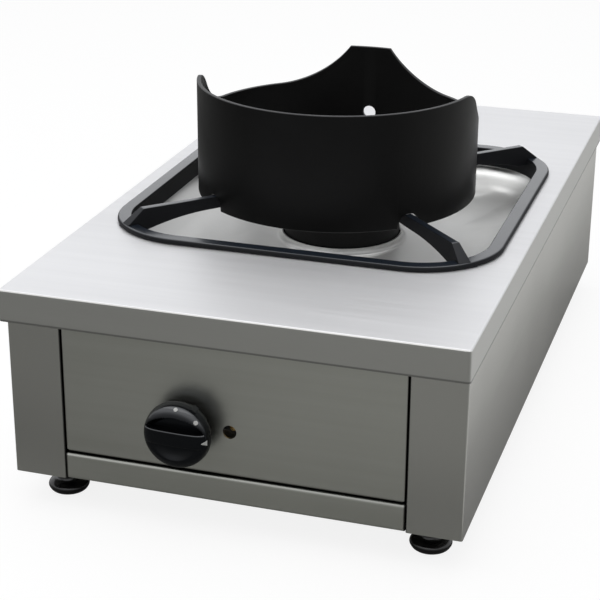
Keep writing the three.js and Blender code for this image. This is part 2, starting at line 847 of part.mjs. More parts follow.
function wokRing() {
  const inner = ringRadius - ringWall;
  const stepAngle = 4;
  const angles = Array.from({ length: 360 / stepAngle }, (_, k) => k * stepAngle);
  const hornEdge = THREE.MathUtils.radToDeg(hornWidth / 2 / ringRadius);
  for (const extra of [90 - hornEdge, 90 + hornEdge]) angles.push(extra);
  angles.sort((a, b) => a - b);
  const sections = angles.map((degrees) => {
    const fromBack = Math.abs(((degrees - 90 + 540) % 360) - 180);
    const top = rimHeight(THREE.MathUtils.degToRad(fromBack) * ringRadius);
    const [ox, oy] = round2(ringRadius, degrees);
    const [ix, iy] = round2(inner, degrees);
    return [
      [ox, oy, 0],
      [ox, oy, top],
      [ix, iy, top],
      [ix, iy, 0],
    ];
  });
  const wall = loft(sections);
  const arch = new THREE.Shape();
  const half = notchWidth / 2;
  arch.moveTo(-half, -5);
  arch.lineTo(half, -5);
  arch.absarc(0, notchHeight - half, half, 0, Math.PI, false);
  arch.closePath();
  const cutter = along(arch, -ringRadius - 5, -inner + 5, 10);
  const notches = fingerAngles.map((angle) => cutter.clone().rotateZ(Math.PI / 2 + notchAngle(angle)));
  const hole = rod(ventHoleRadius, inner - 5, ringRadius + 5).translate(0, 0, ventHoleHeight);
  return cut(wall, ...notches, hole);
}

piece("pan_support", panSupport(), finishes.enamel(), hob);
const ring = piece("wok_ring", wokRing(), finishes.blackSteel(), hob);
ring.position.set(ringShift, 0, plateTop + ringBottom);
ring.rotation.z = THREE.MathUtils.degToRad(ringTurn);

// ---- burner -------------------------------------------------------------------------

function burnerPot() {
  const inner = burnerRadius - burnerWall;
  const neckBore = neckRadius - neckWall;
  const slope = (burnerRadius - neckRadius) * 0.55;
  const flangeEdge = burnerRadius + burnerFlange;
  const rim = crownBottom - seat;
  const profile = [
    [neckBore, neckBottom],
    [neckRadius, neckBottom],
    [neckRadius, potBottom],
    [neckRadius + slope, potBottom + 3],
    [burnerRadius, burnerFlangeTop - burnerFlangeThickness],
    [flangeEdge, burnerFlangeTop - burnerFlangeThickness],
    [flangeEdge, burnerFlangeTop],
    [burnerRadius, burnerFlangeTop],
    [burnerRadius, rim],
    [inner, rim],
    [inner, burnerFlangeTop],
    [neckRadius + slope - 3, potBottom + burnerWall + 3],
    [neckBore, potBottom + burnerWall],
    [neckBore, neckBottom],
  ];
  const holes = studPlaces().map(([x, y]) =>
    post(studRadius + seat, potBottom, burnerFlangeTop + 2, 12).translate(x, y, 0),
  );
  return cut(turned(profile, 28), ...holes);
}

// Crown: ring with a row of flame slots across its bevelled top.
function burnerCrown() {
  const inner = burnerRadius - burnerWall - seat;
  const profile = [
    [crownInner, crownBottom - 4],
    [inner, crownBottom - 4],
    [inner, crownBottom],
    [burnerRadius, crownBottom],
    [burnerRadius, crownTop - 4],
    [burnerRadius - 4, crownTop],
    [crownInner + 3, crownTop],
    [crownInner, crownTop - 3],
    [crownInner, crownBottom - 4],
  ];
  const slots = Array.from({ length: portCount }, (_, k) =>
    block(
      [crownInner + 6, burnerRadius + 2],
      [-portWidth / 2, portWidth / 2],
      [crownTop - portDepth, crownTop + 2],
    ).rotateZ((2 * Math.PI * (k + 0.5)) / portCount),
  );
  return cut(turned(profile, 28), ...slots);
}

// Cap: domed lid on three legs that stand on the crown's inner ledge.
function burnerCap() {
  const base = crownTop + seat;
  const dome = turned(
    [
      [0, base],
      [capRadius + 10, base],
      [capRadius + 10, base + 2],
      [capRadius, base + capHeight * 0.6],
      [capRadius * 0.6, base + capHeight * 0.92],
      [0, base + capHeight],
    ],
    32,
  );
  const spigot = turned(
    [
      [0, crownBottom],
      [crownInner - seat, crownBottom],
      [crownInner - seat, base + 1],
      [0, base + 1],
    ],
    32,
  );
  const windows = [0, 60, 120].map((angle) =>
    block([-capRadius * 2, capRadius * 2], [-9, 9], [crownBottom - 1, crownTop - 3]).rotateZ(
      THREE.MathUtils.degToRad(angle),
    ),
  );
  return join(dome, cut(spigot, ...windows));
}

function burnerNut() {
  const shape = hexagon(10);
  shape.holes.push(circle(studRadius + seat));
  const top = burnerFlangeTop - burnerFlangeThickness - seat;
  return plate(shape, top - nutThickness, top, 6);
}

function burnerElbow() {
  const top = neckBottom - seat;
  const stops = [
    [0, 0, top],
    [0, 0, venturiZ],
    [0, -elbowRadius, venturiZ],
  ];
  return pipe(stops, elbowRadius - seat, neckRadius, neckRadius - neckWall, 16, 5);
}

// Mixing tube: bell mouth at the front, throat, then a slow widening towards the burner.
function venturi() {
  const wall = 3;
  const throatY = venturiFront + venturiLength * 0.3;
  const inside = [
    [mouthRadius, venturiFront],
    [mouthRadius - 4, venturiFront + 4],
    [throatRadius + 1, throatY - 8],
    [throatRadius, throatY],
    [throatRadius + 2, throatY + venturiLength * 0.3],
    [neckRadius - neckWall, venturiRear],
  ];
  const outside = inside.map(([r, y]) => [r + wall, y]).reverse();
  return turnedAlongY([...inside, ...outside, inside[0]], 24).translate(0, 0, venturiZ);
}

// Cup over the venturi's mouth with air windows; the injector is screwed through its front.
function airShutter() {
  const inner = mouthRadius + 3 + seat;
  const outer = inner + shutterSheet;
  const front = venturiFront - shutterLength;
  const rear = venturiFront + 3;
  const cup = turnedAlongY(
    [
      [injectorRadius + seat, front],
      [injectorRadius + seat, front + shutterSheet],
      [inner, front + shutterSheet],
      [inner, rear],
      [outer, rear],
      [outer, front],
      [injectorRadius + seat, front],
    ],
    28,
  );
  const windows = [0, 90].map((angle) =>
    block(
      [-outer - 2, outer + 2],
      [front + shutterSheet + 2, venturiFront - 2],
      [-7, 7],
    ).rotateY(THREE.MathUtils.degToRad(angle)),
  );
  return cut(cup, ...windows).translate(0, 0, venturiZ);
}

function injector() {
  const front = venturiFront - shutterLength;
  const hexBack = front - seat;
  const hex = along(hexagon(2 * injectorHex), hexBack - 7, hexBack);
  const nozzle = turnedAlongY(
    [
      [0, hexBack - 4],
      [injectorRadius, hexBack - 4],
      [injectorRadius, front + 8],
      [3, front + 15],
      [0, front + 15],
    ],
    20,
  );
  const tail = rod(injectorRadius, front - injectorLength + 8, hexBack - 4);
  return join(hex, nozzle, tail).translate(0, 0, venturiZ);
}

piece("burner_pot", burnerPot(), finishes.castIron(), hob);
piece("burner_crown", burnerCrown(), finishes.castIron(), hob);
piece("burner_cap", burnerCap(), finishes.castIron(), hob);
studPlaces().forEach(([x, y], k) => {
  piece("burner_nut_" + (k + 1), burnerNut().translate(x, y, 0), finishes.plated(), hob);
});
piece("burner_elbow", burnerElbow(), finishes.castIron(), hob);
piece("venturi_tube", venturi(), finishes.castIron());
piece("air_shutter", airShutter(), finishes.plated());
piece("injector", injector(), finishes.brass());

// ---- pilot and thermocouple ---------------------------------------------------------

function probe(radius, hoodHeight) {
  const floor = wellFloor + seat;
  const top = wellFloor + hoodHeight;
  const tail = wellUnder - 14;
  return turned(
    [
      [0, tail],
      [radius, tail],
      [radius, floor],
      [probeFlange, floor],
      [probeFlange, floor + 3],
      [radius, floor + 3],
      [radius, top - 2],
      [radius - 1.5, top],
      [0, top],
    ],
    16,
  );
}

const [pilotX, pilotY] = round2(pilotCircle, pilotAngle);
const [probeX, probeY] = round2(pilotCircle, thermocoupleAngle);
piece("pilot_burner", probe(pilotRadius, pilotHeight).translate(pilotX, pilotY, 0), finishes.brass(), hob);
piece("thermocouple", probe(probeRadius, pilotHeight).translate(probeX, probeY, 0), finishes.copper(), hob);

// ---- gas tap, manifold and pipes ----------------------------------------------------

const tap = new THREE.Group(); // everything on the knob's axis
tap.position.set(knobFromCentre, 0, knobZ);
model.add(tap);

const bypassReach = tapBodyRadius + 6;

function tapBody() {
  const front = tapFront + coverThickness + seat;
  const plugRear = front + plugLength;
  const barrel = turnedAlongY(
    [
      [plugFrontRadius + seat, front],
      [tapBodyRadius, front],
      [tapBodyRadius, tapRear],
      [tapHeadRadius, tapRear + 2],
      [tapHeadRadius, tapRear + tapHeadLength],
      [0, tapRear + tapHeadLength],
      [0, plugRear + seat],
      [plugRearRadius + seat, plugRear + seat],
      [plugFrontRadius + seat, front],
    ],
    28,
  );
  const footHalf = manifoldRadius - 1;
  const foot = block(
    [-footHalf, footHalf],
    [manifoldY - footHalf, manifoldY + footHalf],
    [-manifoldDrop, -tapBodyRadius + 4],
  );
  const saddle = rod(manifoldRadius + seat, -20, 20, 24)
    .rotateZ(Math.PI / 2)
    .translate(0, manifoldY, -manifoldDrop);
  const outlet = rod(feedRadius + 3, 0, bypassReach - tapBodyRadius + 6, 16)
    .rotateZ(Math.PI / 2)
    .translate(-tapBodyRadius + 6, manifoldY, 0);
  const shell = cut(foot, saddle);
  const core = turnedAlongY(
    [
      [0, front - 1],
      [plugFrontRadius + seat, front - 1],
      [plugFrontRadius + seat, front],
      [plugRearRadius + seat, plugRear + seat],
      [0, plugRear + seat],
    ],
    28,
  );
  return cut(join(barrel, shell, outlet), core);
}

// D-shaped outline in X and Z: round bar with one flat.
function dOutline(radius, flat, Target = THREE.Shape) {
  const half = Math.acos(flat / radius);
  const shape = new Target();
  shape.absarc(0, 0, radius, Math.PI / 2 + half, Math.PI / 2 - half + 2 * Math.PI, false);
  shape.closePath();
  return shape;
}

function tapPlug() {
  const front = tapFront + coverThickness + seat + 1;
  const rear = tapFront + coverThickness + seat + plugLength - seat;
  const taper = (plugFrontRadius - plugRearRadius) / plugLength;
  const cone = turnedAlongY(
    [
      [0, front],
      [plugFrontRadius - taper, front],
      [plugRearRadius, rear],
      [0, rear],
    ],
    28,
  );
  const reach = spindleRear + knobPush + 2;
  const socket = along(dOutline(spindleRadius + seat, spindleFlat + seat), front - 5, front + reach, 16);
  return cut(cone, socket);
}

function tapCover() {
  const shape = new THREE.Shape().absarc(0, 0, tapBodyRadius, 0, 2 * Math.PI, false);
  shape.holes.push(circle(spindleRadius + seat));
  return along(shape, tapFront, tapFront + coverThickness, 14);
}

const knobInside = panelInset - knobBack; // back of the skirt
const knobSkirt = knobInside - skirtDepth;
const knobShoulder = knobSkirt - shoulderDepth;

function spindle() {
  const front = knobInside - hubDepth + seat + 1;
  const rear = tapFront + coverThickness + seat + 1 + spindleRear;
  return along(dOutline(spindleRadius, spindleFlat), front, rear, 16);
}

// Knob: hollow skirt, sloping shoulder for the marks, and two scoops that leave a grip bar between.
function knob() {
  const rim = knobShoulder - scoopRimDepth;
  const shoulderRadius = knobRadius - shoulderWidth;
  const inside = knobSkirt + 2;
  const body = turnedAlongY(
    [
      [0, knobFront],
      [scoopRadius * 0.6, knobFront + 0.5],
      [scoopRadius, rim],
      [shoulderRadius, knobShoulder],
      [shoulderRadius + shoulderWidth * 0.75, knobShoulder + shoulderDepth * 0.5],
      [knobRadius, knobSkirt],
      [knobRadius, knobSkirt + 2],
      [knobRadius - skirtTaper, knobInside],
      [knobRadius - skirtTaper - knobWall, knobInside],
      [knobRadius - knobWall, inside + 1],
      [knobRadius - knobWall - 2, inside],
      [hubRadius, inside],
      [hubRadius, knobInside],
      [0, knobInside],
    ],
    36,
  );
  const floor = rim + scoopDepth;
  const dish = turnedAlongY(
    [
      [0, knobFront - 2],
      [scoopRadius + 1, knobFront - 2],
      [scoopRadius, rim],
      [scoopRadius - 1.5, rim + scoopDepth * 0.6],
      [scoopRadius - 5, floor],
      [0, floor],
    ],
    36,
  );
  const scoops = [1, -1].map((up) => {
    const side = new THREE.Shape();
    side.moveTo(up * gripHalf, knobFront - 3);
    side.lineTo(up * knobRadius, knobFront - 3);
    side.lineTo(up * knobRadius, floor + 1);
    side.lineTo(up * (gripHalf + gripTaper), floor + 1);
    side.closePath();
    const slab = new THREE.ExtrudeGeometry(side, { depth: 2 * knobRadius, bevelEnabled: false });
    slab.applyMatrix4(
      new THREE.Matrix4().set(0, 0, 1, -knobRadius, 0, 1, 0, 0, 1, 0, 0, 0, 0, 0, 0, 1),
    );
    return common(slab, dish);
  });
  const nib = block(
    [-nibWidth / 2, nibWidth / 2],
    [knobSkirt - 1, knobSkirt + 3],
    [knobRadius - 2, knobRadius + 1],
  ).rotateY(THREE.MathUtils.degToRad(nibAngle));
  const bore = along(
    dOutline(spindleRadius + seat, spindleFlat + seat),
    knobInside - hubDepth,
    knobInside + 5,
    16,
  );
  return cut(join(body, nib), ...scoops, bore);
}

function manifold() {
  const left = manifoldRight - manifoldLength;
  const wall = 2.5;
  const profile = [
    [manifoldRadius - wall, left],
    [manifoldRadius, left],
    [manifoldRadius, manifoldRight],
    [0, manifoldRight],
    [0, manifoldRight - 4],
    [manifoldRadius - wall, manifoldRight - 4],
    [manifoldRadius - wall, left],
  ];
  return turnedAlongY(profile, 24)
    .rotateZ(-Math.PI / 2)
    .translate(0, manifoldY, manifoldZ);
}

// Brass elbow with a closing screw: stands on the manifold and faces the access hole.
function testPoint() {
  const bottom = manifoldZ + manifoldRadius + seat;
  const rise = post(6, bottom, knobZ + 5, 16).translate(testPointX, manifoldY, 0);
  const front = panelInset + sheet + testPointSetback;
  const barrel = rod(4.5, front + 4, manifoldY, 16).translate(testPointX, 0, knobZ);
  const head = rod(3.4, front, front + 5, 16).translate(testPointX, 0, knobZ);
  const slot = block(
    [testPointX - 5, testPointX + 5],
    [front - 1, front + 1.5],
    [knobZ - 0.7, knobZ + 0.7],
  );
  const foot = cut(
    join(rise, barrel, head),
    rod(manifoldRadius + seat, -12, 12, 24)
      .rotateZ(Math.PI / 2)
      .translate(testPointX, manifoldY, manifoldZ),
  );
  return cut(foot, slot);
}

function supplyElbow() {
  const end = manifoldRight - manifoldLength - seat;
  const stops = [
    [supplyFromCentre, manifoldY + supplyBend + 12, manifoldZ],
    [supplyFromCentre, manifoldY, manifoldZ],
    [end, manifoldY, manifoldZ],
  ];
  return pipe(stops, supplyBend, supplyRadius + 2.5, supplyRadius - 1.5, 12);
}

const supplyFront = manifoldY + supplyBend + 12 + seat;
const supplyRear = rearFace - sheet - 18;

function supplyPipe() {
  const profile = [
    [supplyRadius - 1.5, supplyFront],
    [supplyRadius, supplyFront],
    [supplyRadius, supplyRear],
    [supplyRadius - 1.5, supplyRear],
    [supplyRadius - 1.5, supplyFront],
  ];
  return turnedAlongY(profile, 20).translate(supplyFromCentre, 0, manifoldZ);
}

// Inlet: hexagon against the inside of the rear panel, threaded end out through it.
function inletFitting() {
  const front = supplyRear + seat;
  const hexRear = rearFace - sheet - seat;
  const bore = supplyRadius - 1.5;
  const tube = turnedAlongY(
    [
      [bore, front],
      [inletRadius, front],
      [inletRadius, inletEnd - 1.5],
      [inletRadius - 1.5, inletEnd],
      [bore, inletEnd],
      [bore, front],
    ],
    24,
  );
  const hex = cut(
    along(hexagon(2 * inletHex), hexRear - 9, hexRear),
    rod(bore + 1, hexRear - 12, hexRear + 2, 24),
  );
  return join(tube, hex).translate(supplyFromCentre, 0, manifoldZ);
}

// Saddle on a foot rail under a pipe.
function pipeSaddle(radius) {
  const half = radius + 4;
  const shape = new THREE.Shape();
  shape.moveTo(-half, footRailTop + seat);
  shape.lineTo(half, footRailTop + seat);
  shape.lineTo(half, manifoldZ);
  shape.lineTo(radius + seat, manifoldZ);
  shape.absarc(0, manifoldZ, radius + seat, 0, Math.PI, true);
  shape.lineTo(-half, manifoldZ);
  shape.closePath();
  return along(shape, -8, 8, 10);
}

function feedPipe() {
  const y = manifoldY;
  const start = knobFromCentre - bypassReach - seat;
  const end = venturiFront - shutterLength - injectorLength + 8 - seat;
  const out = start - 14;
  const turnY = end - 34;
  return pipe(
    [
      [start, y, knobZ],
      [out, y, knobZ],
      [out, turnY, venturiZ],
      [0, turnY, venturiZ],
      [0, end, venturiZ],
    ],
    12,
    feedRadius,
  );
}

function thinPipe(endX, endY, side, radius, level) {
  const tail = wellUnder - 14 - seat;
  const y = tapRear + tapHeadLength * 0.4 + side * 4;
  const start = knobZ + tapHeadRadius + seat;
  const x = knobFromCentre;
  return pipe(
    [
      [x, y, start],
      [x, y, level],
      [endX - side * 6, y + thinPipeRun, level],
      [endX, endY, level],
      [endX, endY, tail],
    ],
    7,
    radius,
    0,
    8,
    4,
  );
}

piece("gas_tap_body", tapBody(), finishes.brass(), tap);
piece("tap_plug", tapPlug(), finishes.brass(), tap);
piece("tap_cover", tapCover(), finishes.plated(), tap);
piece("tap_spindle", spindle(), finishes.plated(), tap);
piece("control_knob", knob(), finishes.plastic(), tap);
piece("gas_manifold", manifold(), finishes.plated());
piece("test_point", testPoint(), finishes.brass());
piece("supply_elbow", supplyElbow(), finishes.plated());
piece("supply_pipe", supplyPipe(), finishes.plated());
piece("gas_inlet", inletFitting(), finishes.brass());
const manifoldSaddle = pipeSaddle(manifoldRadius).rotateZ(Math.PI / 2);
const saddleX = manifoldRight - manifoldLength + saddleFromEnd;
piece("manifold_saddle", manifoldSaddle.translate(saddleX, manifoldY, 0), finishes.plated());
piece(
  "supply_saddle",
  pipeSaddle(supplyRadius).translate(supplyFromCentre, rearFootFromFront, 0),
  finishes.plated(),
);
piece("burner_feed_pipe", feedPipe(), finishes.copper());
piece(
  "pilot_pipe",
  thinPipe(pilotX, hobFromFront + pilotY, 1, pilotPipeRadius, wellUnder - 34),
  finishes.copper(),
);
piece(
  "thermocouple_lead",
  thinPipe(probeX, hobFromFront + probeY, -1, leadRadius, wellUnder - 28),
  finishes.copper(),
);

// ---- feet ---------------------------------------------------------------------------

// Foot: shallow moulded bowl under a round neck, with a socket for the stud.
function footPad() {
  const top = footRailBottom - seat;
  const bore = footStudRadius + seat;
  return turned(
    [
      [0, 0],
      [padBase, 0],
      [(padBase + 2 * padRadius) / 3, padWidest * 0.3],
      [padRadius - 0.5, padWidest * 0.7],
      [padRadius, padWidest],
      [padRadius - 1, padWidest + 2.2],
      [padRadius - 4, padWidest + 4],
      [padNeck + 1.5, padWidest + 5.2],
      [padNeck, padWidest + 8],
      [padNeck, top],
      [bore, top],
      [bore, padSocket],
      [0, padSocket],
    ],
    24,
  );
}

function footStud() {
  const bottom = padSocket + seat;
  return post(footStudRadius, bottom, bottom + footStudLength, 16);
}

function lockNut() {
  const shape = hexagon(2 * lockNutRadius);
  shape.holes.push(circle(footStudRadius + seat));
  const bottom = footRailTop + seat;
  return plate(shape, bottom, bottom + lockNutThickness, 8);
}

const footPlaces = [
  ["front_left", -footFromCentre, footFromFront],
  ["front_right", footFromCentre, footFromFront],
  ["rear_left", -footFromCentre, rearFootFromFront],
  ["rear_right", footFromCentre, rearFootFromFront],
];
for (const [place, x, y] of footPlaces) {
  piece("foot_pad_" + place, footPad().translate(x, y, 0), finishes.plastic());
  piece("foot_stud_" + place, footStud().translate(x, y, 0), finishes.plated());
  piece("lock_nut_" + place, lockNut().translate(x, y, 0), finishes.plated());
}

export default range;
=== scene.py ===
# Table-top gas wok range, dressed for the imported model. Metres, front towards -Y; the
# pieces' own dictionaries are in millimetres, and finishMesh brings a piece to metres.
import math

import bmesh
import bpy
from mathutils import Matrix, Vector


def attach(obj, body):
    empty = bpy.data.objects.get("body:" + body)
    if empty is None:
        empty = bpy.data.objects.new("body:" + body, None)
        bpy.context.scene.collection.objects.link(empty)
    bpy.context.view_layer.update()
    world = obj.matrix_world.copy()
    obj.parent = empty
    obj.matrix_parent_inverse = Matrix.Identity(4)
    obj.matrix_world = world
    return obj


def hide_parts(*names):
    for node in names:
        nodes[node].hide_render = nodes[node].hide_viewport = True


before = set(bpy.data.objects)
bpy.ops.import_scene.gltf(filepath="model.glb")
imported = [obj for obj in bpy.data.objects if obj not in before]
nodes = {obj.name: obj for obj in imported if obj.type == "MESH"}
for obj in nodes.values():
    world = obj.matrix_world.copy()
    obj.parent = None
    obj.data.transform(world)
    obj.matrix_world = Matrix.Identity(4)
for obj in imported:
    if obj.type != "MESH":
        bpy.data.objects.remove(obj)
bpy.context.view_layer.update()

print("model loaded:", len(nodes), "nodes")

# the camera stands where the photograph was taken from
camera = {
    "place": (0.4251, -1.49215, 0.7148),
    "turnLeft": 17.47,
    "lookDown": 22.03,
    "roll": -0.35,
    "lens": 100.64,
    "sensor": 36,
}


def makeCamera():
    turn, dip, roll = (math.radians(camera[k]) for k in ("turnLeft", "lookDown", "roll"))
    ahead = Vector((-math.sin(turn) * math.cos(dip), math.cos(turn) * math.cos(dip), -math.sin(dip)))
    across = Vector((math.cos(turn), math.sin(turn), 0))
    down = ahead.cross(across)
    right = across * math.cos(roll) + down * math.sin(roll)
    up = across * math.sin(roll) - down * math.cos(roll)
    data = bpy.data.cameras.new("camera")
    data.lens = camera["lens"]
    data.sensor_width = camera["sensor"]
    made = bpy.data.objects.new("camera", data)
    axes = Matrix((right, up, -ahead)).transposed().to_4x4()
    made.matrix_world = Matrix.Translation(camera["place"]) @ axes
    bpy.context.scene.collection.objects.link(made)
    bpy.context.scene.camera = made


makeCamera()

# finishes


def startMaterial(name):
    material = bpy.data.materials.new(name)
    material.use_nodes = True
    tree = material.node_tree
    return material, tree, tree.nodes["Principled BSDF"]


def addNode(tree, kind, inputs=None, **settings):
    node = tree.nodes.new(kind)
    for key, value in settings.items():
        setattr(node, key, value)
    for key, value in (inputs or {}).items():
        node.inputs[key].default_value = value
    return node


def pattern(tree, stretch, detail=4, rough=0.55):
    where = addNode(tree, "ShaderNodeTexCoord")
    mapping = addNode(tree, "ShaderNodeMapping", {"Scale": stretch})
    grain = addNode(tree, "ShaderNodeTexNoise", {"Scale": 1, "Detail": detail, "Roughness": rough})
    tree.links.new(where.outputs["Object"], mapping.inputs["Vector"])
    tree.links.new(mapping.outputs["Vector"], grain.inputs["Vector"])
    return grain.outputs["Fac"]


def spread(tree, value, low, high, fromLow=0.3, fromHigh=0.7):
    limits = {"From Min": fromLow, "From Max": fromHigh, "To Min": low, "To Max": high}
    node = addNode(tree, "ShaderNodeMapRange", limits)
    tree.links.new(value, node.inputs["Value"])
    return node.outputs["Result"]


def blendColour(tree, amount, dark, light):
    node = addNode(tree, "ShaderNodeMix", data_type="RGBA")
    for socket, colour in ((node.inputs[6], dark), (node.inputs[7], light)):
        if isinstance(colour, tuple):
            socket.default_value = (*colour, 1)
        else:
            tree.links.new(colour, socket)
    tree.links.new(amount, node.inputs[0])
    return node.outputs[2]


def combine(tree, operation, *values):
    node = addNode(tree, "ShaderNodeMath", operation=operation)
    for socket, value in zip(node.inputs, values):
        if isinstance(value, (int, float)):
            socket.default_value = value
        else:
            tree.links.new(value, socket)
    return node.outputs[0]


def placeAlong(tree, axis):
    where = addNode(tree, "ShaderNodeTexCoord")
    parts = addNode(tree, "ShaderNodeSeparateXYZ")
    tree.links.new(where.outputs["Object"], parts.inputs[0])
    return parts.outputs[axis]


def facing(tree, axis, start, full):
    # grows from 0 to 1 as a face turns towards the axis
    geometry = addNode(tree, "ShaderNodeNewGeometry")
    parts = addNode(tree, "ShaderNodeSeparateXYZ")
    tree.links.new(geometry.outputs["Normal"], parts.inputs[0])
    return spread(tree, parts.outputs[axis], 0, 1, start, full)


def paintedGapShade(tree, seam):
    # painted shade in the gap: the part of the light that is left beside a seam; a seam across X is on
    # both sides
    axis, place, full, reach, left = seam
    along = placeAlong(tree, axis)
    if axis == "X":
        along = combine(tree, "ABSOLUTE", along)
    away = combine(tree, "ABSOLUTE", combine(tree, "SUBTRACT", along, place / 1000))
    return spread(tree, away, left, 1, full / 1000, reach / 1000)


# paints the shade beside each seam into the colour
def paintGapShades(tree, colour, gapShadesPainted):
    for seam in gapShadesPainted:
        colour = blendColour(tree, paintedGapShade(tree, seam), (0, 0, 0), colour)
    return colour


def relief(tree, shader, height, strength, depth):
    node = addNode(tree, "ShaderNodeBump", {"Strength": strength, "Distance": depth})
    tree.links.new(height, node.inputs["Height"])
    tree.links.new(node.outputs["Normal"], shader.inputs["Normal"])


steelGrain = {
    # how closely the brushed lines lie along X, Y and Z
    "x": (5, 900, 900), "y": (900, 5, 900), "z": (900, 900, 5),
    "broadShare": 0.12, "broadLeast": 1.5, "cloudSize": 6, "depth": 0.0002,
}
coatGrain = {"cloudSize": 14, "depth": 0.0003, "wornFrom": (0.51, 0.58)}


def edgeWear(tree, amount):
    geometry = addNode(tree, "ShaderNodeNewGeometry")
    return spread(tree, geometry.outputs["Pointiness"], 0, amount, *coatGrain["wornFrom"])


def brushedSteel(name, look):
    material, tree, shader = startMaterial(name)
    along = steelGrain[look["grain"]]
    share, least = steelGrain["broadShare"], steelGrain["broadLeast"]
    lines = pattern(tree, along, 3, 0.6)
    broad = pattern(tree, tuple(s * share + least for s in along), 2)
    cloud = pattern(tree, (look.get("cloudSize", steelGrain["cloudSize"]),) * 3, 3, 0.5)
    dark = tuple(c * (1 - look["cloud"]) for c in look["colour"])
    toned = blendColour(tree, spread(tree, cloud, 0, 1), dark, look["colour"])
    colour = blendColour(tree, spread(tree, broad, 0, look["streak"]), toned, look["light"])
    # painted shade: faces turned to a side take the darker colour
    for axis, start, full, other in look.get("shadePaintedByFacing", ()):
        colour = blendColour(tree, facing(tree, axis, start, full), other, colour)
    # the base colour carries the painted shade beside the seams
    tree.links.new(paintGapShades(tree, colour, look.get("gapShadesPainted", ())), shader.inputs["Base Color"])
    shader.inputs["Metallic"].default_value = look.get("metal", 1)
    low, high = look["roughness"]
    tree.links.new(spread(tree, lines, low, high), shader.inputs["Roughness"])
    relief(tree, shader, lines, look["relief"], steelGrain["depth"])
    return material


def darkCoat(name, look):
    material, tree, shader = startMaterial(name)
    speck = pattern(tree, (look["grainSize"],) * 3, 4, 0.6)
    cloud = pattern(tree, (coatGrain["cloudSize"],) * 3, 3)
    toned = blendColour(tree, spread(tree, cloud, 0, 1), look["colour"], look["light"])
    colour = blendColour(tree, edgeWear(tree, look["wear"]), toned, look["edge"])
    low, high = look["roughness"]
    roughness = spread(tree, cloud, low, high)
    up = facing(tree, "Z", *look.get("upFrom", (0.3, 0.9)))
    # painted sheen: faces turned up take the lighter top colour
    if "top" in look:
        colour = blendColour(tree, up, colour, look["top"])
    if "glaze" in look:
        # the glaze lies on the faces turned up, and the others are duller
        for socket, value in zip(("Coat Roughness", "Coat IOR"), look["glaze"]):
            shader.inputs[socket].default_value = value
        if "aheadFrom" in look:
            up = combine(tree, "MULTIPLY", up, facing(tree, "Y", *look["aheadFrom"]))
        tree.links.new(up, shader.inputs["Coat Weight"])
        duller = combine(tree, "MULTIPLY", combine(tree, "SUBTRACT", 1, up), look["dullSides"])
        roughness = combine(tree, "ADD", roughness, duller)
    tree.links.new(colour, shader.inputs["Base Color"])
    tree.links.new(roughness, shader.inputs["Roughness"])
    shader.inputs["Specular IOR Level"].default_value = look["gloss"]
    shader.inputs["Specular Tint"].default_value = (*look.get("tint", (1, 1, 1)), 1)
    relief(tree, shader, speck, look["relief"], coatGrain["depth"])
    return material


# painted shade beside the seams is (axis, place, dark to, fading to, light left), in millimetres: in
# the gaps at the posts, over the rail's top bend under the panel, and along the lip's lower edge
postGapShade = ("X", 149.6, 1.0, 1.7, 0.12)
railGapShade = ("Z", 55.7, 0.9, 2.8, 0.2)
lipGapShade = ("Z", 174, 1.3, 2.1, 0.5)
# painted shade by facing: each entry is (axis, other colour up to here, own colour from here, other
# colour), and the other colour is a darker painted shade on the faces turned that way, for the plate's
# lips and front, the posts' fronts and the well's slopes
steelLooks = {
    "plateSteel": {"colour": (0.80, 0.80, 0.81), "light": (0.84, 0.84, 0.85),
                   "roughness": (0.40, 0.50), "metal": 0.6, "grain": "x", "cloud": 0.06,
                   "streak": 0.4, "relief": 0.05, "gapShadesPainted": (lipGapShade,),
                   "shadePaintedByFacing": (("Z", 0.3, 0.95, (0.60, 0.60, 0.585)),
                                ("Y", -0.9, -0.4, (0.42, 0.42, 0.395)))},
    "frontSteel": {"colour": (0.49, 0.495, 0.455), "light": (0.54, 0.545, 0.51),
                   "roughness": (0.30, 0.40), "grain": "x", "cloud": 0.06, "streak": 0.4,
                   "relief": 0.05, "gapShadesPainted": (postGapShade, railGapShade)},
    "sideSteel": {"colour": (0.57, 0.565, 0.545), "light": (0.62, 0.615, 0.60),
                  "roughness": (0.20, 0.27), "grain": "y", "cloud": 0.12, "cloudSize": 9,
                  "streak": 0.25, "relief": 0.04, "gapShadesPainted": (postGapShade,),
                  "shadePaintedByFacing": (("Y", -0.9, -0.4, (0.475, 0.475, 0.45)),)},
    "rearSteel": {"colour": (0.50, 0.50, 0.49), "light": (0.56, 0.56, 0.55),
                  "roughness": (0.32, 0.42), "grain": "x", "cloud": 0.06, "streak": 0.5,
                  "relief": 0.05},
    "drawnSteel": {"colour": (0.93, 0.93, 0.91), "light": (0.95, 0.95, 0.93),
                   "roughness": (0.34, 0.42), "grain": "x", "cloud": 0.22, "cloudSize": 12,
                   "streak": 0.15, "relief": 0.02,
                   "shadePaintedByFacing": (("X", 0.02, -0.3, (0.77, 0.77, 0.755)),
                                ("X", 0.3, 0.05, (0.52, 0.52, 0.51)))},
    "platedSteel": {"colour": (0.50, 0.50, 0.47), "light": (0.60, 0.59, 0.54),
                    "roughness": (0.30, 0.45), "grain": "z", "cloud": 0.15, "streak": 0.5,
                    "relief": 0.04},
    "brass": {"colour": (0.62, 0.42, 0.17), "light": (0.75, 0.56, 0.27), "roughness": (0.24, 0.36),
              "grain": "y", "cloud": 0.18, "streak": 0.4, "relief": 0.04},
    "copper": {"colour": (0.55, 0.24, 0.12), "light": (0.70, 0.36, 0.21), "roughness": (0.28, 0.42),
               "grain": "y", "cloud": 0.22, "streak": 0.4, "relief": 0.04},
}
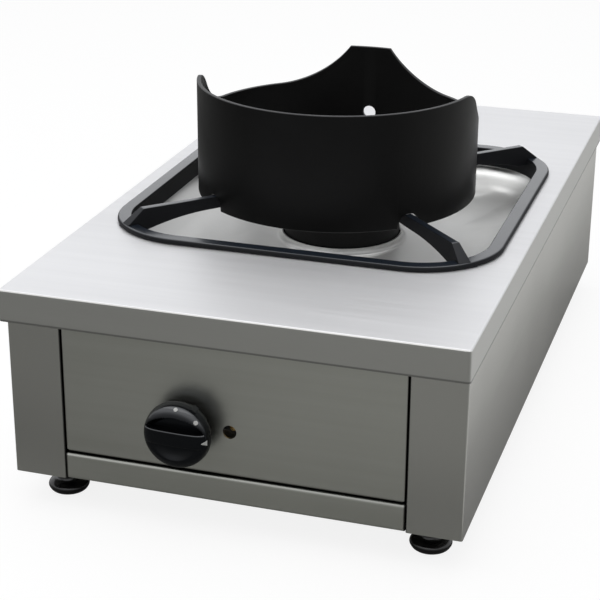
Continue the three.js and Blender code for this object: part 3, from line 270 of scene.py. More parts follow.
# top is a lighter colour for the upper faces, a painted sheen on the enamel bars and a painted
# highlight on the ring's rim, and glaze the (roughness, index of refraction) of the upper faces;
# upFrom and aheadFrom say how far a face has to turn up, and forward, to have them
coatLooks = {
    "greyEnamel": {"colour": (0.004, 0.0042, 0.005), "light": (0.007, 0.0075, 0.009),
                   "edge": (0.02, 0.021, 0.025), "top": (0.009, 0.014, 0.023),
                   "glaze": (0.22, 1.66), "upFrom": (0.75, 0.99), "dullSides": 0.32,
                   "roughness": (0.26, 0.36), "gloss": 0.15, "grainSize": 900, "wear": 0.3,
                   "relief": 0.08},
    "blackSteel": {"colour": (0.0022, 0.0022, 0.0022), "light": (0.0034, 0.0034, 0.0034),
                   "edge": (0.03, 0.03, 0.03), "top": (0.05, 0.05, 0.052),
                   "roughness": (0.36, 0.48), "gloss": 0.13, "grainSize": 1400, "wear": 0.3,
                   "relief": 0.12},
    "castIron": {"colour": (0.002, 0.002, 0.002), "light": (0.005, 0.005, 0.005),
                 "edge": (0.03, 0.03, 0.03), "roughness": (0.55, 0.7), "gloss": 0.15,
                 "grainSize": 1100, "wear": 0.3, "relief": 0.4},
    "knobBlack": {"colour": (0.0022, 0.0022, 0.0025), "light": (0.0035, 0.0035, 0.004),
                  "edge": (0.008, 0.008, 0.009), "roughness": (0.16, 0.24), "gloss": 0.2,
                  "glaze": (0.18, 1.6), "upFrom": (0.12, 0.5), "aheadFrom": (-0.25, -0.65),
                  "dullSides": 0.05, "tint": (0.80, 0.88, 1.0), "grainSize": 2500, "wear": 0.2,
                  "relief": 0.03},
    "footBlack": {"colour": (0.004, 0.004, 0.004), "light": (0.007, 0.007, 0.007),
                  "edge": (0.02, 0.02, 0.02), "roughness": (0.12, 0.20), "gloss": 0.5,
                  "grainSize": 1800, "wear": 0.3, "relief": 0.04},
    "markWhite": {"colour": (0.70, 0.70, 0.68), "light": (0.80, 0.80, 0.78),
                  "edge": (0.7, 0.7, 0.68), "roughness": (0.4, 0.5), "gloss": 0.4,
                  "grainSize": 2500, "wear": 0.0, "relief": 0.02},
}
materials = {name: brushedSteel(name, look) for name, look in steelLooks.items()}
materials.update({name: darkCoat(name, look) for name, look in coatLooks.items()})
print("materials made:", len(materials))

dressedNodes = {
    "plateSteel": ["top_plate"],
    "frontSteel": ["control_panel", "base_rail"],
    "sideSteel": ["left_side_panel", "right_side_panel"],
    "rearSteel": ["rear_panel"],
    "drawnSteel": ["burner_well"],
    "greyEnamel": ["pan_support"],
    "blackSteel": ["wok_ring"],
    "castIron": ["burner_pot", "burner_crown", "burner_cap", "burner_elbow", "venturi_tube"],
    "brass": ["injector", "pilot_burner", "gas_tap_body", "tap_plug", "test_point", "gas_inlet"],
    "copper": ["thermocouple", "burner_feed_pipe", "pilot_pipe", "thermocouple_lead"],
    "knobBlack": ["control_knob"],
    "footBlack": [n for n in nodes if n.startswith("foot_pad")],
}
dressed = {n: name for name, names in dressedNodes.items() for n in names}
modelCorner = 28  # degrees; a bend sharper than this is a real corner of the model
joinWithin = 1e-5  # metres


def makeSmoother():
    # joins the model's loose faces and keeps only its real corners sharp
    group = bpy.data.node_groups.new("smoother", "GeometryNodeTree")
    for way in ("INPUT", "OUTPUT"):
        group.interface.new_socket("Geometry", in_out=way, socket_type="NodeSocketGeometry")
    start = group.nodes.new("NodeGroupInput")
    end = group.nodes.new("NodeGroupOutput")
    merge = group.nodes.new("GeometryNodeMergeByDistance")
    merge.inputs["Distance"].default_value = joinWithin
    normals = group.nodes.new("GeometryNodeRemoveAttribute")
    normals.inputs["Name"].default_value = "custom_normal"
    smoothFaces = group.nodes.new("GeometryNodeSetShadeSmooth")
    smoothFaces.domain = "FACE"
    angle = group.nodes.new("GeometryNodeInputMeshEdgeAngle")
    steep = group.nodes.new("FunctionNodeCompare")
    steep.operation = "GREATER_THAN"
    steep.inputs[1].default_value = math.radians(modelCorner)
    sharpEdges = group.nodes.new("GeometryNodeSetShadeSmooth")
    sharpEdges.domain = "EDGE"
    sharpEdges.inputs["Shade Smooth"].default_value = False
    link = group.links.new
    link(start.outputs[0], merge.inputs["Geometry"])
    link(merge.outputs[0], normals.inputs["Geometry"])
    link(normals.outputs[0], smoothFaces.inputs["Geometry"])
    link(smoothFaces.outputs[0], sharpEdges.inputs["Geometry"])
    link(angle.outputs["Unsigned Angle"], steep.inputs[0])
    link(steep.outputs[0], sharpEdges.inputs["Selection"])
    link(sharpEdges.outputs[0], end.inputs[0])
    return group


def evenShading(piece):
    # large faces stay flat in the light, and only their rounded edges bend it
    modifier = piece.modifiers.new("evenShading", "WEIGHTED_NORMAL")
    modifier.keep_sharp = True
    modifier.weight = 100  # the largest faces lead


smoother = makeSmoother()
for name, node in nodes.items():
    node.data.materials.clear()
    node.data.materials.append(materials[dressed.get(name, "platedSteel")])
    node.modifiers.new("smoother", "NODES").node_group = smoother
    evenShading(node)
print("model's nodes dressed")

# tools for new pieces

hob = (0, -7.25)  # middle of the burner
plateTop = 202
cornerAngle = 38  # degrees; a bend sharper than this stays a corner


def newEdges(made):
    return [g for g in made["geom"] if isinstance(g, bmesh.types.BMEdge) and g.is_boundary]


def loopVerts(edges):
    return {v for e in edges for v in e.verts}


def turnMesh(bm, degrees, axis="Z"):
    matrix = Matrix.Rotation(math.radians(degrees), 3, axis)
    bmesh.ops.rotate(bm, verts=bm.verts, cent=(0, 0, 0), matrix=matrix)


def pulledOut(bm, faces):
    # extrudes the faces and hands back the new vertices, still to be moved
    made = bmesh.ops.extrude_face_region(bm, geom=faces)["geom"]
    return [g for g in made if isinstance(g, bmesh.types.BMVert)]


def shell(sections, point, steps, closed=True):
    # one ring of edges pulled through every section; point places a vertex by its angle
    bm = bmesh.new()
    bmesh.ops.create_circle(bm, segments=steps, radius=1)
    half = Matrix.Rotation(math.pi / steps, 3, "Z")
    bmesh.ops.rotate(bm, verts=bm.verts, cent=(0, 0, 0), matrix=half)
    loops = [list(bm.edges)]
    for _ in sections[1:]:
        loops.append(newEdges(bmesh.ops.extrude_edge_only(bm, edges=loops[-1])))
    for section, edges in zip(sections, loops):
        for v in loopVerts(edges):
            v.co = point(section, math.atan2(v.co.y, v.co.x))
    if closed:
        bmesh.ops.bridge_loops(bm, edges=loops[0] + loops[-1])
    return bm


def turned(profile, steps):
    # a line of (radius, height) spun about Z; ends on the axis close themselves
    bm = bmesh.new()
    line = [bm.verts.new((r, 0, z)) for r, z in profile]
    edges = [bm.edges.new(pair) for pair in zip(line, line[1:])]
    bmesh.ops.spin(bm, geom=line + edges, cent=(0, 0, 0), axis=(0, 0, 1), angle=2 * math.pi,
                   steps=steps, use_merge=True)
    bmesh.ops.remove_doubles(bm, verts=bm.verts, dist=0.001)
    return bm


def roundedEdge(radius, steps=3):
    # (in from one face, down from the other) round a quarter circle
    turns = [math.pi / 2 * k / steps for k in range(steps + 1)]
    return [(radius * (1 - math.cos(t)), radius * (1 - math.sin(t))) for t in turns]


def softLine(points, steps=4):
    # a smooth curve through the points
    ends = [points[0], *points, points[-1]]
    line = []
    for a, b, c, d in zip(ends, ends[1:], ends[2:], ends[3:]):
        for k in range(steps):
            t = k / steps
            line.append(tuple(
                0.5 * (2 * q + (r - p) * t + (2 * p - 5 * q + 4 * r - s) * t * t
                       + (3 * q - p - 3 * r + s) * t ** 3)
                for p, q, r, s in zip(a, b, c, d)))
    return line + [points[-1]]


def roundedCorner(halfX, halfY, radius, z, angle):
    x = math.copysign(halfX - radius, math.cos(angle))
    y = math.copysign(halfY - radius, math.sin(angle))
    return Vector((x + radius * math.cos(angle), y + radius * math.sin(angle), z))


def sharpEdgesOf(bm, degrees):
    return [e for e in bm.edges if len(e.link_faces) == 2
            and e.calc_face_angle(0) > math.radians(degrees)]


def easeEdges(bm, radius, degrees=40):
    bmesh.ops.bevel(bm, geom=sharpEdgesOf(bm, degrees), affect="EDGES", offset=radius,
                    segments=2, profile=0.5, material=-1, clamp_overlap=True)


def addCopy(bm, other, matrix):
    mesh = bpy.data.meshes.new("spare")
    other.to_mesh(mesh)
    mesh.transform(matrix)
    bm.from_mesh(mesh)
    bpy.data.meshes.remove(mesh)


def finishMesh(name, bm, centre, turn=0, sharp=cornerAngle):
    bmesh.ops.recalc_face_normals(bm, faces=bm.faces)
    turnMesh(bm, turn)
    bmesh.ops.translate(bm, verts=bm.verts, vec=centre)
    bmesh.ops.scale(bm, verts=bm.verts, vec=(0.001, 0.001, 0.001))
    mesh = bpy.data.meshes.new(name)
    bm.to_mesh(mesh)
    bm.free()
    mesh.shade_smooth()
    mesh.set_sharp_from_angle(angle=math.radians(sharp))
    made = bpy.data.objects.new(name, mesh)
    bpy.context.scene.collection.objects.link(made)
    return made


def settle(piece):
    graph = bpy.context.evaluated_depsgraph_get()
    mesh = bpy.data.meshes.new_from_object(piece.evaluated_get(graph))
    piece.modifiers.clear()
    piece.data = mesh


def cutAway(piece, cutter):
    modifier = piece.modifiers.new("cut", "BOOLEAN")
    modifier.operation, modifier.solver, modifier.object = "DIFFERENCE", "EXACT", cutter
    settle(piece)
    piece.data.set_sharp_from_angle(angle=math.radians(cornerAngle))
    bpy.data.objects.remove(cutter)


def dress(piece, finish, body, instead=()):
    piece.data.materials.clear()
    piece.data.materials.append(materials[finish])
    evenShading(piece)
    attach(piece, body)
    if instead:
        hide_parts(*instead)


# the wok ring: rim with a horn at the back, arched notches over the fingers

ring = {
    "centre": (-5.6, -7.25), "turn": 1.8, "bottom": 208.05,
    "radius": 133.5, "wall": 4, "height": 107.5, "edge": 0.8,
    "hornWidth": 42, "hornFillet": 92, "scallopDepth": 36.3, "scallopReach": 241,
    "frontFillet": 55, "frontCrown": 33,
    "notchWidth": 23, "notchHeight": 13.3,
    "holeRadius": 6.5, "holeHeight": 39.7, "holeSteps": 48, "holeDepth": 30, "steps": 1440,
}
supportSpan = (361.5, 377)
fingerAngles = [math.atan2(y * supportSpan[1], x * supportSpan[0]) for x in (1, -1) for y in (1, -1)]


def rimHeight(reach):
    depth, low = ring["scallopDepth"], ring["height"] - ring["scallopDepth"]
    horn, fillet, crown = ring["hornFillet"], ring["frontFillet"], ring["frontCrown"]
    fromHorn, beforeFront = reach - ring["hornWidth"] / 2, ring["scallopReach"] - reach
    if fromHorn <= 0 or beforeFront <= 0:
        return ring["height"]
    hornRun = math.sqrt(2 * horn * depth - depth ** 2)
    turn = math.acos(1 - depth / (fillet + crown))
    crownRun, filletRun = crown * math.sin(turn), fillet * math.sin(turn)
    if fromHorn < hornRun:
        return low + horn - math.sqrt(horn ** 2 - (hornRun - fromHorn) ** 2)
    if beforeFront < crownRun:
        return ring["height"] - crown + math.sqrt(crown ** 2 - beforeFront ** 2)
    if beforeFront < crownRun + filletRun:
        return low + fillet - math.sqrt(fillet ** 2 - (crownRun + filletRun - beforeFront) ** 2)
    return low


def notchAngle(angle):
    radius = ring["radius"] - ring["wall"] / 2
    shift = ring["centre"][0]
    along = shift * math.cos(angle)
    reach = along + math.sqrt(along ** 2 + radius ** 2 - shift ** 2)
    x, y = reach * math.cos(angle) - shift, reach * math.sin(angle)
    return math.atan2(y, x) - math.radians(ring["turn"])


notches = [notchAngle(a) for a in fingerAngles]


def between(a, b):
    return abs((a - b + math.pi) % (2 * math.pi) - math.pi)


def notchRise(angle):
    half = ring["notchWidth"] / 2
    away = min(between(angle, n) for n in notches) * ring["radius"]
    return ring["notchHeight"] - half + math.sqrt(half ** 2 - away ** 2) if away < half else 0


def ringPoint(section, angle):
    inset, start, rise = section
    radius = ring["radius"] - inset
    if start == "rim":
        z = rimHeight(between(angle, math.pi / 2) * ring["radius"]) - rise
    else:
        z = notchRise(angle) + rise
    return Vector((radius * math.cos(angle), radius * math.sin(angle), z))


def makeRing():
    corner, wall = roundedEdge(ring["edge"]), ring["wall"]
    sections = [(a, "rim", b) for a, b in corner]
    sections += [(wall - a, "rim", b) for a, b in reversed(corner)]
    sections += [(wall - a, "foot", b) for a, b in corner]
    sections += [(a, "foot", b) for a, b in reversed(corner)]
    bm = shell(sections, ringPoint, ring["steps"])
    place = (*ring["centre"], ring["bottom"])
    piece = finishMesh("wokRing", bm, place, ring["turn"])
    hole = bmesh.new()
    drill = Matrix.Translation((0, ring["radius"], ring["holeHeight"]))
    drill @= Matrix.Rotation(math.pi / 2, 4, "X")
    bmesh.ops.create_cone(hole, cap_ends=True, segments=ring["holeSteps"], radius1=ring["holeRadius"],
                          radius2=ring["holeRadius"], depth=ring["holeDepth"], matrix=drill)
    cutAway(piece, finishMesh("holeCutter", hole, place, ring["turn"]))
    dress(piece, "blackSteel", "wok_ring", ["wok_ring"])


makeRing()
print("wok ring made")

# the pan support: rounded frame, skirt, four fingers and a pad under each corner

support = {
    "corner": 78, "bar": 13, "barFrom": 0.7, "barTo": 5, "edge": 1.1, "shoulder": 2.4,
    "skirtInset": 8, "skirtInner": 12.75, "skirtDrop": 14, "skirtEdge": 0.6, "steps": 224,
    "tip": 68, "thickness": 7, "root": 13, "flare": 207, "peak": 210, "knee": 140, "heel": 205,
    "top": 18.5, "under": 7, "drop": 2, "fingerEdge": 0.9, "fingerCorner": 30,
    # how far the finger's tip is cut back, and how far its root is sunk in the bar
    "tipEase": (3, 2), "tipChin": 2, "rootSunk": (1.5, 0.3), "heelSunk": 2, "overlap": 1,
    "kneeSteps": 8, "pad": 24, "padReach": -0.6, "padFrom": 0.3, "padEdge": 0.6,
}


def supportPoint(section, angle):
    inset, z = section
    halfX, halfY = supportSpan[0] / 2, supportSpan[1] / 2
    return roundedCorner(halfX - inset, halfY - inset, support["corner"] - inset, z, angle)


def barSection(outer, inner, low, high, edge, shoulder):
    # the shoulder is the rounding at the top of the outer side
    corner, outside = roundedEdge(edge), roundedEdge(shoulder, 4)
    section = [(outer + a, high - b) for a, b in outside]
    section += [(inner - a, high - b) for a, b in reversed(corner)]
    section += [(inner - a, low + b) for a, b in corner]
    section += [(outer + a, low + b) for a, b in reversed(corner)]
    return section


def makeFinger():
    s = support
    easeAlong, easeDown = s["tipEase"]
    sunkIn, sunkDown = s["rootSunk"]
    halfX, halfY = (span / 2 - s["corner"] for span in supportSpan)
    outer = math.hypot(halfX, halfY) + s["corner"]
    root, heel = outer - sunkIn, outer - s["bar"] + s["heelSunk"]
    joined = s["barFrom"] + s["overlap"]
    line = [(s["tip"], s["under"] + s["tipChin"]), (s["tip"], s["top"] - easeDown),
            (s["tip"] + easeAlong, s["top"]), (s["peak"], s["top"]), (root, s["barTo"] - sunkDown),
            (root, joined), (heel, joined), (heel, -s["drop"])]
    # the curve of the underside, from the heel at the bar up to the knee
    low, high = (s["heel"], -s["drop"]), (s["knee"], s["under"])
    for k in range(s["kneeSteps"] + 1):
        t = k / s["kneeSteps"]
        x = low[0] * (1 - t) ** 2 + (low[0] + high[0]) * t * (1 - t) + high[0] * t * t
        z = low[1] * (1 - t) ** 2 + 2 * high[1] * t * (1 - t) + high[1] * t * t
        line.append((x, z))
    bm = bmesh.new()
    side = bm.faces.new([bm.verts.new((x, -1, z)) for x, z in line])
    bmesh.ops.translate(bm, verts=pulledOut(bm, [side]), vec=(0, 2, 0))
    everything = bm.verts[:] + bm.edges[:] + bm.faces[:]
    bmesh.ops.bisect_plane(bm, geom=everything, plane_co=(s["flare"], 0, 0), plane_no=(1, 0, 0))
    for v in bm.verts:
        grown = max(0, (v.co.x - s["flare"]) / (outer - s["flare"]))
        half = (s["thickness"] + (s["root"] - s["thickness"]) * grown) / 2
        v.co.y = math.copysign(half, v.co.y)
    bmesh.ops.recalc_face_normals(bm, faces=bm.faces)
    easeEdges(bm, s["fingerEdge"], s["fingerCorner"])
    pad = bmesh.new()
    bmesh.ops.create_cube(pad, size=1)
    deep = s["bar"] / 2 + s["padReach"]
    bmesh.ops.scale(pad, verts=pad.verts, vec=(deep, s["pad"], joined - s["padFrom"]))
    middle = (outer + s["padReach"] - deep / 2, 0, (joined + s["padFrom"]) / 2)
    bmesh.ops.translate(pad, verts=pad.verts, vec=middle)
    easeEdges(pad, s["padEdge"])
    addCopy(bm, pad, Matrix.Identity(4))
    pad.free()
    return bm


def makeSupport():
    s = support
    bar = barSection(0, s["bar"], s["barFrom"], s["barTo"], s["edge"], s["shoulder"])
    bm = shell(bar, supportPoint, s["steps"])
    edge, joined = s["skirtEdge"], s["barFrom"] + s["overlap"]
    skirt = barSection(s["skirtInset"], s["skirtInner"], -s["skirtDrop"], joined, edge, edge)
    skirtShell = shell(skirt, supportPoint, s["steps"])
    addCopy(bm, skirtShell, Matrix.Identity(4))
    finger = makeFinger()
    for angle in fingerAngles:
        addCopy(bm, finger, Matrix.Rotation(angle, 4, "Z"))
    skirtShell.free()
    finger.free()
    piece = finishMesh("panSupport", bm, (*hob, plateTop))
    dress(piece, "greyEnamel", "pan_support", ["pan_support"])


makeSupport()
print("pan support made")

# the burner well: rounded-square mouth drawn down to a round floor and collar

well = {
    "halfX": 174.25, "halfY": 182, "corner": 71.5, "flange": 12, "rim": -1.8,
    "upright": 16, "floor": 43, "sheet": 1.5,
    # slope is (inset, share of the fall), toFloor (share of the way in, share still to fall)
    "slope": ((0.8, 0), (3.2, 0.15), (9, 0.33), (20, 0.53), (34, 0.7)),
    "toFloor": ((0.35, 0.13), (0.7, 0.04)), "valley": 1.3, "floorReach": 3.4,
    "collar": 57.2, "collarBend": 7, "collarHeight": 7, "collarEase": (1.4, 0.35),
    "lipRound": (0.5, 0.6), "steps": 128, "rowsBetween": 4, "sharp": 50,
    "holes": ((76, 118), (76, 134)), "holeRadius": 5.5, "holeSteps": 32, "holeDepth": 20,
}


def makeWell():
    w = well

    def mouth(inset, z):
        # the corners tighten on the way down, which leaves a soft valley in each
        corner = w["corner"] - inset * (w["valley"] if inset > 0 else 1)
        return (w["halfX"] - inset, w["halfY"] - inset, corner, z)

    fall = w["floor"] - w["upright"]
    slope = [mouth(inset, -w["upright"] - fall * share) for inset, share in w["slope"]]
    edge = w["collar"] + w["floorReach"] * w["collarBend"]
    floorEdge = (edge, edge, edge, -w["floor"])

    def blend(t, lift):
        mixed = [a + (b - a) * t for a, b in zip(slope[-1], floorEdge)]
        return (*mixed[:3], -w["floor"] + lift)

    def circle(radius, lift):
        return (radius, radius, radius, -w["floor"] + lift)

    easeOut, easeUp = w["collarEase"]
    lower = [*slope, *(blend(t, fall * lift) for t, lift in w["toFloor"]), floorEdge,
             circle(w["collar"] + w["collarBend"], 0),
             circle(w["collar"] + w["sheet"] + easeOut, w["collarBend"] * easeUp),
             circle(w["collar"] + w["sheet"], w["collarHeight"])]
    roundOut, roundDown = w["lipRound"]
    upper = [mouth(-w["flange"], w["rim"]), mouth(-roundOut, w["rim"]),
             mouth(0, w["rim"] - roundDown)]
    sections = upper + softLine(lower, w["rowsBetween"])
    bm = shell(sections, lambda s, a: roundedCorner(*s, a), w["steps"], closed=False)
    piece = finishMesh("burnerWell", bm, (*hob, plateTop), sharp=w["sharp"])
    # the sheet has to face up before it gets its thickness
    if sum(face.normal.z * face.area for face in piece.data.polygons) < 0:
        piece.data.flip_normals()
    solidify = piece.modifiers.new("sheet", "SOLIDIFY")
    solidify.thickness, solidify.offset = w["sheet"] / 1000, -1
    settle(piece)
    cutters = bmesh.new()
    for radius, degrees in w["holes"]:
        a = math.radians(degrees)
        place = Matrix.Translation((radius * math.cos(a), radius * math.sin(a), -w["floor"]))
        bmesh.ops.create_cone(cutters, cap_ends=True, segments=w["holeSteps"], radius1=w["holeRadius"],
                              radius2=w["holeRadius"], depth=w["holeDepth"], matrix=place)
    cutAway(piece, finishMesh("wellCutter", cutters, (*hob, plateTop)))
    dress(piece, "drawnSteel", "range_body", ["burner_well"])


makeWell()
print("burner well made")

# the burner's crown, with flame slots cut across its top

burner = {
    "radius": 56, "wall": 4, "crownTop": 205, "crownBottom": 191, "inner": 34, "spigot": 4,
    "clearance": 0.3, "footEdge": 0.5, "boreEdge": 3, "steps": 120, "sharp": 40,
    "topEdge": ((0, 4.6), (0.5, 3.6), (3.6, 0.5), (4.6, 0)),  # (in, down) over the outer edge
    "ports": 20, "portFrom": 6, "portPast": 2, "portWidth": 3, "portDepth": 4, "cutHeight": 8,
}


def makeCrown():
    b = burner
    low, high, rim, bore = b["crownBottom"], b["crownTop"], b["radius"], b["inner"]
    foot, inside = low - b["spigot"], rim - b["wall"] - b["clearance"]
    ease, chamfer = b["footEdge"], b["boreEdge"]
    profile = [(bore, foot), (inside, foot), (inside, low), (rim - ease, low), (rim, low + ease),
               *((rim - across, high - down) for across, down in b["topEdge"]),
               (bore + chamfer, high), (bore, high - chamfer), (bore, foot)]
    piece = finishMesh("burnerCrown", turned(profile, b["steps"]), (*hob, 0), sharp=b["sharp"])
    cutters = bmesh.new()
    start = bore + b["portFrom"]
    reach = rim + b["portPast"] - start
    for k in range(b["ports"]):
        place = Matrix.Rotation(2 * math.pi * (k + 0.5) / b["ports"], 4, "Z")
        middle = (start + reach / 2, 0, high - b["portDepth"] + b["cutHeight"] / 2)
        place @= Matrix.Translation(middle)
        size = Matrix.Diagonal((reach, b["portWidth"], b["cutHeight"], 1))
        bmesh.ops.create_cube(cutters, size=1, matrix=place @ size)
    cutAway(piece, finishMesh("portCutter", cutters, (*hob, 0)))
    dress(piece, "castIron", "burner_crown", ["burner_crown"])


makeCrown()
print("burner made")

# the control knob: turned skirt and shoulder, two scoops that leave the grip bar

knob = {
    "axis": (-39.7, 97), "front": -330.75, "steps": 288,
    "outside": ((19.6, 26.5), (22.2, 25.7), (24.6, 24.6), (26.8, 22.9), (28.1, 20.4),
                (28.6, 17.2), (28.6, 13.9), (25.4, 5.9)),
    "inside": ((22.9, 5.9), (26.1, 12.9), (24.1, 13.9), (8, 13.9), (8, 5.9), (4.3, 5.9),
               (4.3, 19.9), (0, 19.9)),
    "crown": 27.5, "rim": 26.5, "rimRadius": 19.6, "faceRows": 44, "faceFrom": 20,
    "shoulderFrom": (16.6, 24), "sharp": 42,
    # each scoop is (half width, half height, floor, share of it that slopes)
    "upperScoop": (27.5, 18.8, 19, 0.2), "lowerScoop": (26.5, 20, 24, 0.6),
    "gripSoft": 5.2, "grip": 6.3, "gripFoot": 7.3, "softDrop": 0.45, "gripTurn": -1,
    "nibAngle": 31, "nibSize": (3.6, 5, 9), "nibPlace": (28.6, 16.8), "nibEdge": 0.5,
    # each mark is (kind, angle, radius, size)
    "marks": (("dot", 3, 25.9, 1.7), ("dot", 47.5, 25.4, 1.9), ("wedge", 91, 26.4, 3.3)),
    "markThickness": 0.5, "markReach": 1.2, "dotSteps": 24, "wedgeShape": (0.8, 1.15, 1),
}


def part(value, start, full):
    return min(1, max(0, (value - start) / (full - start)))


def knobFace(x, y, height):
    # how far the moulded face stands out: two oval scoops beside the grip bar
    k = knob
    halfX, halfY, floor, ramp = k["upperScoop"] if y > 0 else k["lowerScoop"]
    dish = floor + (height - floor) * part(math.hypot(x / halfX, y / halfY), 1 - ramp, 1) ** 2
    bar = height - k["softDrop"] * part(abs(y), k["gripSoft"], k["grip"]) ** 2
    wall = bar - (bar - floor) * part(abs(y), k["grip"], k["gripFoot"])
    return min(height, max(dish, wall))


def onKnob(angle, radius, height):
    # a place on the knob, the angle clockwise from the top as seen from the front
    a = math.radians(90 - angle)
    return Vector((radius * math.cos(a), radius * math.sin(a), height))


def makeKnob():
    k = knob
    rows, fall = k["faceRows"], k["crown"] - k["rim"]
    middle = [(k["rimRadius"] * n / rows, k["crown"] - fall * (n / rows) ** 3) for n in range(rows)]
    bm = turned(middle + softLine(k["outside"]) + list(k["inside"]), k["steps"])
    shoulder, shoulderRadius = k["shoulderFrom"]

    def onFace(v):
        return v.co.z > k["faceFrom"] or v.co.z > shoulder and v.co.xy.length > shoulderRadius

    halfSoft = (k["gripSoft"] + k["grip"]) / 2
    for u in (k["gripSoft"], halfSoft, k["grip"], k["gripFoot"]):
        for side in (u, -u):
            face = [v for v in bm.verts if onFace(v)]
            edges = {e for v in face for e in v.link_edges}
            faces = {f for v in face for f in v.link_faces}
            bmesh.ops.bisect_plane(bm, geom=[*face, *edges, *faces], plane_co=(0, side, 0),
                                   plane_no=(0, 1, 0))
    for v in filter(onFace, bm.verts):
        v.co.z = knobFace(*v.co)
    nib = bmesh.new()
    bmesh.ops.create_cube(nib, size=1)
    bmesh.ops.scale(nib, verts=nib.verts, vec=k["nibSize"])
    easeEdges(nib, k["nibEdge"])
    place = Matrix.Translation(onKnob(k["nibAngle"], *k["nibPlace"]))
    addCopy(bm, nib, place @ Matrix.Rotation(math.radians(90 - k["nibAngle"]), 4, "Z"))
    nib.free()
    return bm


def shoulderHeight(radius):
    line = knob["outside"]
    for (near, high), (far, low) in zip(line, line[1:]):
        if radius <= far:
            return high + (low - high) * (radius - near) / (far - near)
    return line[-1][1]


def makeMarks():
    # printed marks: thin slips laid on the knob's sloping shoulder
    bm = bmesh.new()
    reach = knob["markReach"]
    for kind, angle, radius, size in knob["marks"]:
        mark = bmesh.new()
        sides = 3 if kind == "wedge" else knob["dotSteps"]
        bmesh.ops.create_circle(mark, cap_ends=True, segments=sides, radius=size)
        if kind == "wedge":
            bmesh.ops.scale(mark, verts=mark.verts, vec=knob["wedgeShape"])
            turnMesh(mark, 90)
        slip = pulledOut(mark, mark.faces[:])
        bmesh.ops.translate(mark, verts=slip, vec=(0, 0, knob["markThickness"]))
        inner, outer = shoulderHeight(radius - reach), shoulderHeight(radius + reach)
        tilt = Matrix.Rotation(math.atan2(inner - outer, 2 * reach), 4, "Y")
        lift = (shoulderHeight(radius) * 2 + inner + outer) / 4
        place = Matrix.Rotation(math.radians(90 - angle), 4, "Z")
        addCopy(bm, mark, place @ Matrix.Translation((radius, 0, lift)) @ tilt)
        mark.free()
    return bm


def setOnPanel(name, bm):
    turnMesh(bm, knob["gripTurn"])
    turnMesh(bm, 90, "X")
    x, z = knob["axis"]
    return finishMesh(name, bm, (x, knob["front"], z), sharp=knob["sharp"])


dress(setOnPanel("controlKnob", makeKnob()), "knobBlack", "knob", ["control_knob"])
dress(setOnPanel("knobMarks", makeMarks()), "markWhite", "knob")
print("knob made")

# the feet: shallow moulded bowls on screwed studs

feet = {
    "profile": ((0, 0), (10, 0), (15.3, 2.1), (17.5, 4.9), (18, 7), (17, 9.2), (14, 11),
                (10.5, 12.2), (9, 15), (9, 31.5)),
    "socket": 5.3, "socketFloor": 9, "steps": 72,
    "places": {"front_left": (-164.3, -296.75), "front_right": (164.3, -296.75),
               "rear_left": (-164.3, 309.25), "rear_right": (164.3, 309.25)},
}


def makeFeet():
    line = softLine(feet["profile"][1:-1])
    top, socket, floor = feet["profile"][-1], feet["socket"], feet["socketFloor"]
    bore = [(socket, top[1]), (socket, floor), (0, floor)]
    for place, (x, y) in feet["places"].items():
        bm = turned([(0, 0), *line, top, *bore], feet["steps"])
        piece = finishMesh("footPad_" + place, bm, (x, y, 0))
        dress(piece, "footBlack", "foot_" + place, ["foot_pad_" + place])


makeFeet()
print("feet made")

# floor, backdrop and lights

studio = {
    # the floor's grey ahead and pale beside are painted shade and light, and its glow beside is
    # painted light seen in mirrors
    "floorSize": 14, "floorRough": 0.9, "floorColour": (1, 1, 0.965), "floorSeen": 0.86,
    "paintedShadeAhead": 0.45, "farShare": 0.78, "paintedLightBeside": 0.72, "paintedShadowBeside": 0.15,
    "paintedGlowBeside": 0.22, "toneSeen": 0.2,
    # where the floor's painted shade and light change, in metres across (x) and along (y)
    "aheadY": (-0.58, -0.44), "aheadX": (-0.28, -0.05),
    "besideX": (0.25, 0.285), "besideY": (-0.45, -0.3),
    "underX": (0.13, 0.18), "underFrontY": (-0.26, -0.17), "underBackY": (0.30, 0.34),
    "ambient": 0.30, "backSky": 1.0, "frontSky": 0.5, "highSky": 1.4,
    "skyColour": (0.97, 0.98, 1.0), "highFrom": (0.15, 0.45), "behindFrom": (-0.3, 0.15),
}
lamps = [
    # name, place, aimed at, width, height, power
    ("topSoftbox", (-0.2, -0.2, 2.6), (0, 0, 0.2), 4, 4, 52),
]


def rayKinds(tree):
    rays = addNode(tree, "ShaderNodeLightPath").outputs
    mirrored = combine(tree, "MAXIMUM", rays["Is Glossy Ray"], rays["Is Transmission Ray"])
    return rays["Is Camera Ray"], mirrored


def makeWorld():
    # white for the camera, darker in mirrors towards the front, even and dim as light
    world = bpy.data.worlds.new("studio")
    bpy.context.scene.world = world
    world.use_nodes = True
    tree = world.node_tree
    background = tree.nodes["Background"]
    direct, mirrored = rayKinds(tree)
    where = addNode(tree, "ShaderNodeTexCoord")
    parts = addNode(tree, "ShaderNodeSeparateXYZ")
    tree.links.new(where.outputs["Generated"], parts.inputs[0])
    low, high = studio["frontSky"], studio["highSky"]
    front = spread(tree, parts.outputs["Z"], low, high, *studio["highFrom"])
    behind = spread(tree, parts.outputs["Y"], 0, 1, *studio["behindFrom"])
    toBack = combine(tree, "SUBTRACT", studio["backSky"], front)
    sky = combine(tree, "MULTIPLY_ADD", toBack, behind, front)
    overAmbient = combine(tree, "SUBTRACT", sky, studio["ambient"])
    inMirrors = combine(tree, "MULTIPLY_ADD", overAmbient, mirrored, studio["ambient"])
    tree.links.new(combine(tree, "MAXIMUM", inMirrors, direct), background.inputs["Strength"])
    tinted = blendColour(tree, direct, studio["skyColour"], (1, 1, 1))
    tree.links.new(tinted, background.inputs["Color"])


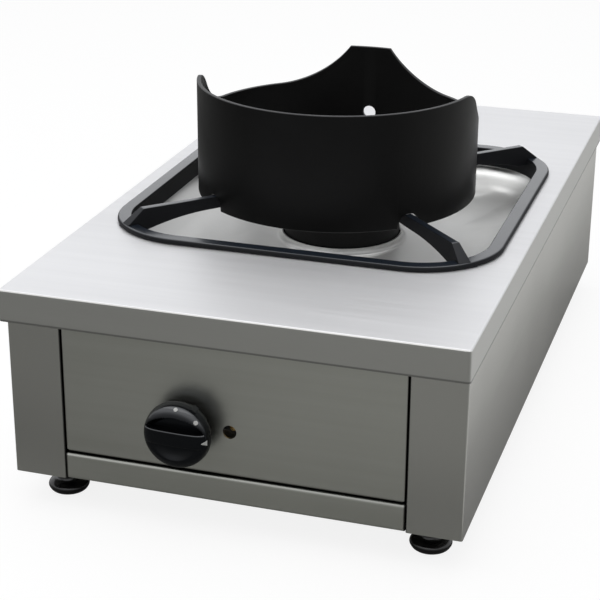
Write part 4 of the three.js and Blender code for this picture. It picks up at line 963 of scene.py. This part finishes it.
def makeFloor():
    bm = bmesh.new()
    bmesh.ops.create_grid(bm, x_segments=1, y_segments=1, size=studio["floorSize"] / 2)
    mesh = bpy.data.meshes.new("floor")
    bm.to_mesh(mesh)
    bm.free()
    floor = bpy.data.objects.new("floor", mesh)
    bpy.context.scene.collection.objects.link(floor)
    material, tree, shader = startMaterial("paleFloor")
    shader.inputs["Roughness"].default_value = studio["floorRough"]
    shader.inputs["Specular IOR Level"].default_value = 0
    shader.inputs["Emission Color"].default_value = (1, 1, 1, 1)
    direct, mirrored = rayKinds(tree)
    x, y = placeAlong(tree, "X"), placeAlong(tree, "Y")

    def fade(value, low, high, limits):
        return spread(tree, value, low, high, *studio[limits])

    def times(*values):
        product = values[0]
        for value in values[1:]:
            product = combine(tree, "MULTIPLY", product, value)
        return product

    # the floor that the steel mirrors, with painted shade and light: grey in front with a painted
    # shadow close to the object, a painted shadow close beside it, and paler, as if lit, to the right
    # and behind
    far = studio["farShare"]
    ahead = times(fade(y, 1, far, "aheadY"), fade(x, far, 1, "aheadX"), studio["paintedShadeAhead"])
    beside = times(fade(x, studio["paintedShadowBeside"], 1, "besideX"), fade(y, 0, 1, "besideY"))
    paler = combine(tree, "SUBTRACT", studio["paintedLightBeside"], ahead)
    tone = combine(tree, "MULTIPLY_ADD", beside, paler, ahead)
    greys = blendColour(tree, tone, (0, 0, 0), studio["floorColour"])
    shades = blendColour(tree, direct, greys, (studio["toneSeen"],) * 3)
    tree.links.new(shades, shader.inputs["Base Color"])
    # white for the camera, but not through the openings of the casing
    across = fade(combine(tree, "ABSOLUTE", x), 1, 0, "underX")
    along = times(fade(y, 0, 1, "underFrontY"), fade(y, 1, 0, "underBackY"))
    uncovered = combine(tree, "SUBTRACT", 1, times(across, along))
    seen = times(direct, uncovered, studio["floorSeen"])
    # a painted glow beside the object, seen only in mirrors
    shown = times(mirrored, beside, studio["paintedGlowBeside"])
    tree.links.new(combine(tree, "ADD", seen, shown), shader.inputs["Emission Strength"])
    mesh.materials.append(material)


def makeLamp(name, place, aim, width, height, power):
    data = bpy.data.lights.new(name, "AREA")
    data.shape = "RECTANGLE"
    data.size, data.size_y, data.energy = width, height, power
    lamp = bpy.data.objects.new(name, data)
    aimed = (Vector(aim) - Vector(place)).to_track_quat("-Z", "Y").to_matrix().to_4x4()
    lamp.matrix_world = Matrix.Translation(place) @ aimed
    bpy.context.scene.collection.objects.link(lamp)


makeWorld()
makeFloor()
for lamp in lamps:
    makeLamp(*lamp)
bpy.context.scene.view_settings.view_transform = "Standard"
print("studio set")
